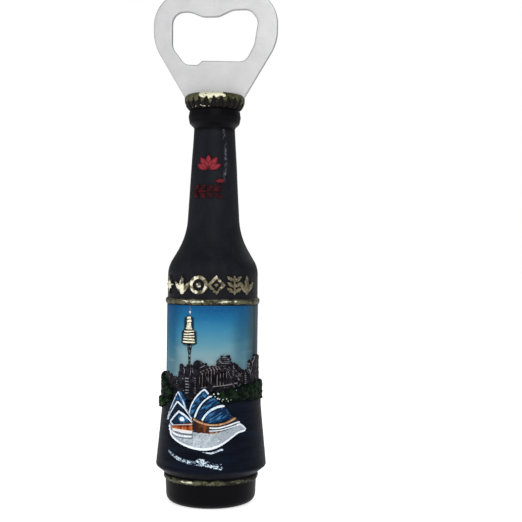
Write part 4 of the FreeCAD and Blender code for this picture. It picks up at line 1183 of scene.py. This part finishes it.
def draw_fore(s, z):
    """Three sails, each in front of the last, with raised white edges; the last cups a pale ball."""
    parts, which = stacked(s, z, FORE)
    d = union(parts)
    ground = BARREL_R + 1.05 - surface(z)
    level = ground + pick(which, [0.30 + 0.2 * dome(parts[0], 1.2), 0.62 + 0.15 * dome(parts[1], 1.0),
                                  0.95 + 0.18 * dome(parts[2], 1.0)])
    own = [step(w + 0.12, w - 0.06, line_distance(s, z, p)) for p, w in zip(FORE_EDGES, FORE_WIDTHS)]
    white = pick(which, [own[0] * 0.75, own[1], own[2]])
    streaks = grain(s + z * 0.45 + 40, z * 0.25 + s * 0.1, 0.42, 73)
    ball = step(1.05, 0.45, np.hypot((s - BALL_S) / 1.20, (z - BALL_Z) / 0.92)) * (which == 2)
    rise = level + 0.17 * white + 0.04 * streaks + 0.15 * ball
    light = step(-7.9, -7.2, s * 0.97) * (which == 0)
    glow = step(2.3, 0.9, np.hypot(s - BALL_S, (z - BALL_Z) * 1.4)) * (which == 2)
    tone = np.clip(0.25 + 0.45 * streaks + 0.6 * light + 0.45 * glow, 0, 1)
    dark = pick(which, [0.0, 0.85, 0.62 * (1 - glow)]) * (1 - white)
    dark = np.maximum(dark, np.where((which == 0) & (parts[1] < 0.45), step(0.45, 0.1, parts[1]), 0) * 0.9)
    dark = np.maximum(dark, np.where((which == 1) & (parts[2] < 0.5), step(0.5, 0.1, parts[2]), 0))
    patchy = 0.88 + 0.25 * grain(s + 30, z, 0.8, 74)
    return d, rise, {"brush": np.clip(np.maximum(white * patchy * 1.15, ball * 0.9), 0, 1.2), "tone": tone,
                     "recess": dark * (1 - white) * (1 - ball)}


coat(carved("fore_sail_set", "fore_sails", (-13.2, -1.6, 23.2, 33.8), 0.085, draw_fore, BOAT_R, 0.4),
     brushed_paint("fore_sail_paint", (0.0045, 0.026, 0.072), (0.042, 0.175, 0.40), (0.74, 0.83, 0.92),
                   dark=(0.0022, 0.0035, 0.008), rough=0.42, streak=(1.6, 0.7)))

MAIN = (
    sail([(-4.55, 27.2), (-3.6, 29.8), (-2.2, 31.9), (-0.6, 33.5), (0.45, 34.2), (1.5, 33.1), (2.7, 31.9),
          (1.0, 30.5), (-1.2, 28.0), (-2.2, 25.3), (-4.0, 25.9)]),
    sail([(2.35, 32.35), (3.5, 31.2), (4.9, 30.2), (6.1, 29.3), (4.0, 28.7), (1.8, 27.4), (0.0, 24.9),
          (-2.9, 25.4), (-2.6, 26.8), (-1.2, 29.2), (0.6, 31.1)]),
    sail([(5.8, 29.7), (6.7, 28.7), (7.2, 27.4), (8.6, 26.1), (7.6, 25.4), (5.0, 24.6), (1.7, 24.5),
          (-0.6, 25.1), (0.4, 26.7), (1.7, 28.1), (3.8, 29.3)]),
)
MAIN_WIDTHS = (0.20, 0.26, 0.34)
MAIN_EDGES = strokes_on(BOAT_R, (
    [(-4.2, 26.9), (-3.75, 28.9), (-2.6, 31.0), (-1.0, 32.7), (0.2, 33.75), (0.95, 33.3), (1.5, 32.6)],
    [(2.45, 32.0), (1.2, 31.4), (-0.4, 30.0), (-1.5, 28.2), (-2.3, 26.1)],
    [(5.85, 29.35), (4.2, 29.1), (2.2, 28.2), (0.8, 26.9), (-0.15, 25.4)]))


def draw_main(s, z):
    """Three fanned sails, each in front of the last, their near edges raised white ribs curving to the foot."""
    parts, which = stacked(s, z, MAIN)
    d = union(parts)
    ground = BARREL_R + 1.0 - surface(z)
    level = ground + 0.25 + 0.34 * which + 0.30 * dome(pick(which, parts), 2.0)
    lines = [line_distance(s, z, p) for p in MAIN_EDGES]
    white = pick(which, [step(w + 0.13, w - 0.07, far) for far, w in zip(lines, MAIN_WIDTHS)])
    beside_rib = pick(which, [9.0, lines[1], lines[2]])
    streaks = grain(s * 0.55 - z * 0.85 + 60, s * 0.22 + z * 0.16 + 20, 0.30, 83)
    strokes = step(0.05, 0.65, streaks) * step(-0.35, 0.35, grain(s + 20, z, 1.8, 85))
    second = step(0.22, 0.05, np.abs(beside_rib - 0.78)) * (which > 0)
    tone = np.clip(0.30 + 0.55 * streaks + 0.3 * strokes, 0, 1)
    dark = step(0.62, 0.12, pick(which, [parts[1], parts[2], 9.0]))
    dark = np.maximum(dark, 0.9 * step(0.25, 0.05, np.abs(beside_rib - 0.50)) * (which > 0))
    rise = level + 0.17 * white + 0.05 * streaks
    brush = np.clip(np.maximum(white * (0.95 + 0.2 * grain(s + 30, z, 0.8, 86)),
                               np.maximum(second * 0.38, strokes * 0.34)), 0, 1.2)
    pale = np.clip(white * step(-0.2, 0.6, grain(s + 70, z, 0.9, 87) + (27.5 - z) * 0.10), 0, 1)
    return d, rise, {"brush": brush, "tone": tone, "recess": dark * (1 - white), "pale": pale}


def sail_paint():
    """Blue sails: navy varied to teal blue, white ribs turning pale blue lower down, and dark gaps."""
    p = Paint("main_sail_paint")
    fine = p.flecks((1.5, 0.9))
    base = p.mix((0.0034, 0.018, 0.054), (0.042, 0.175, 0.38), p.step(0.36, 0.74, fine * 0.5 + p.mask("tone") * 0.5))
    rib = p.mix((0.76, 0.84, 0.92), (0.24, 0.50, 0.72), p.mask("pale") * p.step(0.3, 0.7, fine))
    base = p.mix(base, rib, p.step(0.36, 0.64, p.mask("brush") * 0.82 + (fine - 0.5) * 0.9))
    base = p.mix(base, (0.0022, 0.0035, 0.008), p.mask("recess"))
    return p.satin(base, 0.40 + fine * 0.12, fine, 0.09)


coat(carved("main_sail_set", "main_sails", (-5.4, 9.8, 24.0, 34.6), 0.085, draw_main, BOAT_R, 0.4),
     sail_paint())

HOUSE_FORE = unroll([
    (-8.7, 23.3), (-8.0, 23.7), (-5.2, 24.2), (-2.75, 24.5), (-2.75, 21.7), (-8.6, 22.0)], BOAT_R)
HOUSE_MAIN = unroll([
    (-2.5, 25.9), (-0.7, 25.15), (1.0, 24.65), (2.5, 24.4), (4.8, 24.5), (7.0, 25.15), (8.8, 26.1), (9.4, 25.6),
    (9.6, 25.1), (10.5, 24.7), (10.5, 23.8), (8.6, 23.0), (6.2, 22.2), (4.4, 21.7), (2.4, 21.5),
    (-2.3, 21.8)], BOAT_R)
RAIL_WIDTHS = (0.20, 0.14)
*RAILS, TAN_EDGE = strokes_on(BOAT_R, (
    [(2.2, 23.35), (4.1, 23.25), (6.6, 23.8), (8.6, 24.5), (9.7, 24.8), (10.4, 24.4)],
    [(2.1, 22.55), (4.2, 22.6), (6.4, 23.05), (8.4, 23.7), (9.9, 24.15)],
    [(-2.4, 25.6), (-0.7, 24.85), (1.0, 24.35), (2.5, 24.1), (4.8, 24.2), (7.0, 24.85), (8.7, 25.8)]))
ORANGE_CHIPS = ((2.9, 22.05, 0.42), (4.0, 22.1, 0.34), (5.2, 22.45, 0.25), (2.3, 22.0, 0.3))


def draw_house_fore(s, z):
    """Low rounded deckhouse with upright brush strokes."""
    d = outline_distance(s, z, HOUSE_FORE)
    strokes = grain(s + 30, z * 0.22, 0.35, 101)
    rise = HULL_R - 0.45 - surface(z) + 0.08 * strokes + 0.1 * dome(d, 0.5)
    along = s + 5.5
    sill = step(0.15, 0.05, np.abs(z - 23.95 - 0.10 * along))
    under = step(22.75, 22.40, z + 0.03 * along)
    shade = step(0.40, 0.15, np.abs(z - 23.6 - 0.10 * along))
    recess = np.clip(shade * 0.55 + step(-0.35, -0.8, strokes) * 0.45, 0, 1)
    return d, rise + 0.08 * sill, {
        "tone": 0.5 + 0.5 * strokes, "brush": np.clip(0.9 * sill + under + 0.3 * step(0.55, 0.9, strokes), 0, 1),
        "recess": recess * (1 - sill) * (1 - under)}


def draw_house_main(s, z):
    """Long deckhouse: a brown block at the left, then two white rails over a dark blue and tan side."""
    d = outline_distance(s, z, HOUSE_MAIN)
    rails = highest([step(w + 0.12, w - 0.08, line_distance(s, z, p)) for p, w in zip(RAILS, RAIL_WIDTHS)])
    tan = step(0.30, 0.16, line_distance(s, z, TAN_EDGE))
    block = step(2.25, 2.0, s)
    strokes = grain(s + 30, z * 0.25, 0.4, 103)
    chips = highest([step(k, k * 0.5, np.hypot((s - a) * 0.8, (z - b) * 1.5)) for a, b, k in ORANGE_CHIPS])
    rise = HULL_R - 0.5 - surface(z) + 0.12 * rails + 0.10 * tan + 0.06 * strokes * block
    corner = step(-1.0, -2.3, s) * 0.75 + step(0.22, 0.05, np.abs(s - 2.05)) * 0.8
    blue = step(2.0, 2.3, s) * (1 - rails) * 0.92
    recess = np.clip(blue + corner * block, 0, 1) * (1 - tan) * (1 - chips)
    tone = 0.5 + 0.6 * strokes - 0.7 * step(0.8, -1.2, s)
    return d, rise, {"tone": tone, "brush": np.clip(rails, 0, 1), "recess": recess,
                     "tan": np.maximum(tan, chips * 0.9)}


def house_paint():
    """Brown deckhouse varied to orange brown, a tan edge, dark blue hollows and white rails."""
    p = Paint("house_brown_and_rails")
    fine = p.flecks((2.0, 0.6))
    base = p.mix((0.042, 0.014, 0.006), (0.165, 0.052, 0.017), p.step(0.3, 0.7, fine * 0.5 + p.mask("tone") * 0.5))
    base = p.mix(base, (0.006, 0.012, 0.026), p.mask("recess"))
    base = p.mix(base, p.mix((0.30, 0.105, 0.035), (0.62, 0.40, 0.23), p.step(0.35, 0.65, fine)), p.mask("tan"))
    base = p.mix(base, (0.70, 0.78, 0.84), p.step(0.38, 0.62, p.mask("brush") * 0.85 + (fine - 0.5) * 0.5))
    return p.satin(base, 0.45 + fine * 0.1, fine, 0.09)


coat(carved("fore_deck_house", "fore_deckhouse", (-9.8, -2.2, 21.6, 25.6), 0.085, draw_house_fore,
            BOAT_R, 0.4),
     brushed_paint("house_orange", (0.20, 0.035, 0.010), (0.56, 0.140, 0.035), (0.72, 0.70, 0.68),
                   dark=(0.05, 0.012, 0.006), streak=(2.2, 0.5)))
coat(carved("main_deck_house", "main_deckhouse", (-3.2, 10.6, 21.4, 26.4), 0.085, draw_house_main,
            BOAT_R, 0.4),
     house_paint())

HULL = unroll(chaikin([
    (-10.5, 23.7), (-10.15, 22.0), (-9.75, 20.5), (-8.4, 19.4), (-6.0, 18.3), (-3.2, 17.45), (0.4, 16.95),
    (3.6, 17.45), (6.2, 18.8), (8.4, 20.5), (9.8, 21.6), (11.4, 21.9), (12.0, 22.6), (11.4, 23.5), (10.8, 24.2),
    (10.0, 24.5), (9.2, 24.1), (7.3, 23.2), (4.9, 22.4), (2.6, 22.0), (0.2, 22.2), (-2.6, 22.3), (-2.9, 22.0),
    (-6.0, 22.3), (-8.8, 22.6), (-9.9, 23.8)], 1), HULL_R)
HULL_RIM, BOW_RIM, *STERN_STEPS = strokes_on(HULL_R, (
    [(-9.9, 23.0), (-9.35, 20.7), (-7.6, 19.35), (-5.0, 18.3), (-1.4, 17.5), (2.2, 17.55), (5.4, 18.7), (8.2, 20.7),
     (9.7, 21.95), (11.4, 22.3)],
    [(9.4, 23.95), (10.0, 24.25), (10.6, 23.9), (11.2, 23.3), (11.6, 22.8)],
    [(-9.0, 22.7), (-7.4, 22.25), (-5.4, 21.9), (-2.9, 21.8)],
    [(-9.7, 22.3), (-8.6, 21.4), (-6.6, 20.85), (-2.9, 20.95)]))


def draw_hull(s, z):
    """Swelling hull side with a raised rim, stepped lines at the stern and level brush marks."""
    d = outline_distance(s, z, HULL)
    rim = line_distance(s, z, HULL_RIM)
    bow = line_distance(s, z, BOW_RIM)
    edge = np.maximum(step(0.50, 0.18, rim), step(0.42, 0.15, bow))
    lines = [line_distance(s, z, p) for p in STERN_STEPS]
    stripe = highest([step(0.34, 0.16, k) for k in lines])
    groove = highest([step(0.30, 0.08, np.abs(k - 0.55)) * (s < -2.6) for k in lines])
    groove = np.maximum(groove, step(0.30, 0.06, np.abs(s + 2.75)) * (z > 20.6) * (z < 23.2))
    inner = step(0.24, 0.06, np.abs(rim - 0.72)) * (s < -3.5)
    slant = s * 0.5 + z * 0.86
    streaks = grain(slant * 0.45 + 40, z * 0.5 - s * 0.86 + 60, 0.42, 111) * 0.5
    streaks = streaks + cloud(s + 20, z * 1.3, 0.6, 112, 3) * 0.35
    rise = HULL_R - 0.12 - surface(z) - 0.55 * (1 - dome(d, 2.2)) - 0.10
    rise = rise + 0.22 * edge + 0.07 * stripe - 0.12 * groove + 0.04 * streaks
    shade = step(1.5, 8.0, s)
    pits = 0.45 * step(0.50, 0.80, cloud(s * 1.5 + 20, z * 1.5 + 20, 0.5, 131, 2))
    brush = np.clip(0.30 + 0.75 * edge + 0.65 * stripe + 0.16 * streaks - 0.25 * shade, 0, 1.1)
    recess = highest([groove * 0.75, inner * 0.45, pits]) * (1 - edge) + 0.5 * step(-0.12, 0.0, d)
    return d, rise, {"brush": brush, "tone": np.clip(0.6 + 0.6 * streaks - 0.6 * shade, 0, 1),
                     "recess": np.clip(recess, 0, 1)}


coat(carved("white_boat_hull", "boat_hull", (-12.4, 13.6, 16.4, 25.8), 0.085, draw_hull, HULL_R, 0.4),
     brushed_paint("hull_white", (0.33, 0.375, 0.42), (0.52, 0.575, 0.62), (0.80, 0.86, 0.91),
                   dark=(0.035, 0.055, 0.085), rough=0.45, streak=(1.0, 1.6)))

# ------------------------------------------------------------------ foam and ripples
FOAM = unroll(chaikin([
    (-0.5, 16.9), (0.8, 16.45), (2.2, 16.05), (3.5, 16.3), (4.6, 16.9), (5.9, 17.15), (5.7, 17.6), (4.3, 17.45),
    (3.2, 16.85), (1.9, 16.6)], 2), SEA_R)
RIPPLE_BAND = unroll([
    (-10.1, 16.5), (-8.6, 15.75), (-6.2, 14.8), (-3.8, 14.3), (-1.9, 14.15), (-0.9, 14.95), (0.6, 14.8),
    (2.6, 13.8), (4.3, 13.4), (5.2, 13.6), (5.5, 12.3), (5.0, 11.7), (4.4, 12.1), (3.3, 12.2), (1.5, 12.6),
    (-0.5, 12.9), (-2.2, 13.1), (-4.5, 13.3), (-6.8, 14.0), (-8.6, 14.9), (-9.9, 15.8)], SEA_R)


def draw_foam(s, z):
    """Curl of foam under the bow."""
    d = outline_distance(s, z, FOAM) + 0.10 * grain(s + 30, z * 2, 0.6, 121)
    rise = 0.12 + 0.20 * dome(d, 0.35)
    brush = np.clip(0.25 + 0.5 * dome(d, 0.4) + 0.3 * grain(s + 50, z * 2, 0.5, 122), 0, 1)
    return d, rise, {"brush": brush, "tone": 0.5, "recess": 0}


def draw_ripples(s, z):
    """Broken dry-brush dabs: where a slanting streaky field is high inside one wavy band."""
    along, across = s * 0.97 - z * 0.26 + 40, z * 0.97 + s * 0.26 + 40
    dabs = grain(along * 0.75, across * 1.5, 0.62, 123) + 0.55 * grain(along * 1.4, across * 2.1, 0.6, 124)
    right = step(-4.0, 1.0, s)
    d = np.maximum(outline_distance(s, z, RIPPLE_BAND), (-0.55 + 0.38 * right - dabs) * 0.26)
    rise = 0.08 + 0.16 * dome(d, 0.25)
    brush = 0.24 + 0.05 * right + 0.40 * dome(d, 0.22) + 0.25 * grain(along * 2, across * 4, 0.7, 125)
    return d, rise, {"brush": np.clip(brush, 0, 1), "tone": 0.5 + 0.4 * grain(along, across * 3, 0.5, 126),
                     "recess": 0}


coat(carved("bow_foam", "foam_line", (-1.8, 7.0, 15.6, 18.4), 0.085, draw_foam, SEA_R, 0.25),
     brushed_paint("foam_white", (0.10, 0.15, 0.22), (0.35, 0.43, 0.52), (0.70, 0.78, 0.86)))
coat(carved("sea_ripples", "ripple_strokes", (-11.6, 6.6, 11.2, 17.1), 0.07, draw_ripples, SEA_R,
            0.25),
     brushed_paint("ripple_blue", (0.040, 0.075, 0.120), (0.20, 0.29, 0.38), (0.66, 0.76, 0.86)))


# ------------------------------------------------------------------ magnets
def magnet_paint():
    """Sintered ferrite: near black, dull, with fine grey grain and scuffed streaks."""
    p = Paint("sintered_ferrite")
    grit = p.noise(p.place(), 4.0, 5.0, 0.7)
    scuff = p.noise(p.place((0.3, 1.0, 2.2)), 0.8, 4.0, 0.6)
    base = p.mix((0.022, 0.022, 0.025), (0.075, 0.075, 0.080), p.step(0.45, 0.8, grit * 0.5 + scuff * 0.5))
    return p.surface(Base_Color=base, Metallic=0.35, Roughness=0.55 + grit * 0.15, Normal=p.bump(grit, 0.03, 0.6))


for magnet_node in ("upper_magnet", "lower_magnet"):
    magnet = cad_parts[magnet_node]
    magnet.data.materials.clear()
    coat(magnet, magnet_paint())

# ------------------------------------------------------------------ camera, light and floor
LOOK_AZIMUTH = math.radians(9.5)
LOOK_DISTANCE = 0.2951
LOOK_HEIGHT = 0.069
FOCAL, IMAGE_WIDTH, IMAGE_ASIDE = 1025.0, 522.0, 47.8
LOOK_ASIDE = math.atan(IMAGE_ASIDE / FOCAL)
LOOK_ROLL = math.radians(0.61)
SENSOR = 36.0
FLOOR_HALF = 6.0
LENS = SENSOR * FOCAL / IMAGE_WIDTH


def camera():
    """Camera level with the label, a little to the right of the bottle, aimed just past it."""
    data = bpy.data.cameras.new("viewpoint")
    data.lens, data.sensor_width = LENS, SENSOR
    data.clip_start, data.clip_end = 0.01, 20
    seen = bpy.data.objects.new("viewpoint", data)
    bpy.context.collection.objects.link(seen)
    away = Vector((math.sin(LOOK_AZIMUTH), -math.cos(LOOK_AZIMUTH), 0))
    right = Vector((math.cos(LOOK_AZIMUTH), math.sin(LOOK_AZIMUTH), 0))
    up = Vector((0, 0, 1))
    ahead = -away * math.cos(LOOK_ASIDE) + right * math.sin(LOOK_ASIDE)
    turn = Matrix((ahead.cross(up), up, -ahead)).transposed().to_4x4()
    place = Matrix.Translation(away * LOOK_DISTANCE + up * LOOK_HEIGHT)
    seen.matrix_world = place @ turn @ Matrix.Rotation(LOOK_ROLL, 4, "Z")
    bpy.context.scene.camera = seen


def soft_light(name, place, target, size, power):
    """Rectangular light at a place, turned towards a target."""
    data = bpy.data.lights.new(name, "AREA")
    data.shape, data.size, data.size_y, data.energy = "RECTANGLE", size[0], size[1], power
    lamp = bpy.data.objects.new(name, data)
    bpy.context.collection.objects.link(lamp)
    lamp.location = place
    lamp.rotation_euler = (Vector(target) - Vector(place)).to_track_quat("-Z", "Y").to_euler()


def studio():
    """White sweep: pale floor, white surround, a broad light above the front and a weaker one at the left."""
    bpy.context.scene.view_settings.view_transform = "Standard"
    world = bpy.data.worlds.new("white_surround")
    world.use_nodes = True
    nodes, links = world.node_tree.nodes, world.node_tree.links
    nodes.clear()
    path = nodes.new("ShaderNodeLightPath")
    strength = nodes.new("ShaderNodeMapRange")
    strength.inputs["To Min"].default_value, strength.inputs["To Max"].default_value = 0.36, 1.0
    back = nodes.new("ShaderNodeBackground")
    back.inputs["Color"].default_value = (1, 1, 1, 1)
    out = nodes.new("ShaderNodeOutputWorld")
    links.new(path.outputs["Is Camera Ray"], strength.inputs["Value"])
    links.new(strength.outputs[0], back.inputs["Strength"])
    links.new(back.outputs[0], out.inputs[0])
    bpy.context.scene.world = world
    mesh = bpy.data.meshes.new("floor")
    mesh.from_pydata([(x * FLOOR_HALF, y * FLOOR_HALF, 0) for x, y in ((-1, -1), (1, -1), (1, 1), (-1, 1))], [],
                     [(0, 1, 2, 3)])
    floor = bpy.data.objects.new("floor", mesh)
    bpy.context.collection.objects.link(floor)
    p = Paint("pale_floor")
    tone = p.mix((0.90, 0.90, 0.90), (0.93, 0.93, 0.93), p.noise(p.place(), 0.01))
    coat(floor, p.surface(Base_Color=tone, Roughness=0.9, Specular_IOR_Level=0.1, Emission_Color=(1, 1, 1, 1),
                          Emission_Strength=0.70))
    soft_light("key_light", (0.16, -0.72, 0.48), (0, 0, 0.07), (0.55, 0.55), 3.1)
    soft_light("fill_light", (-0.62, -0.42, 0.24), (0, 0, 0.07), (0.30, 0.60), 0.8)
    soft_light("back_light", (0.15, 0.75, 0.55), (0, 0, 0.05), (0.7, 0.5), 1.6)


camera()
studio()
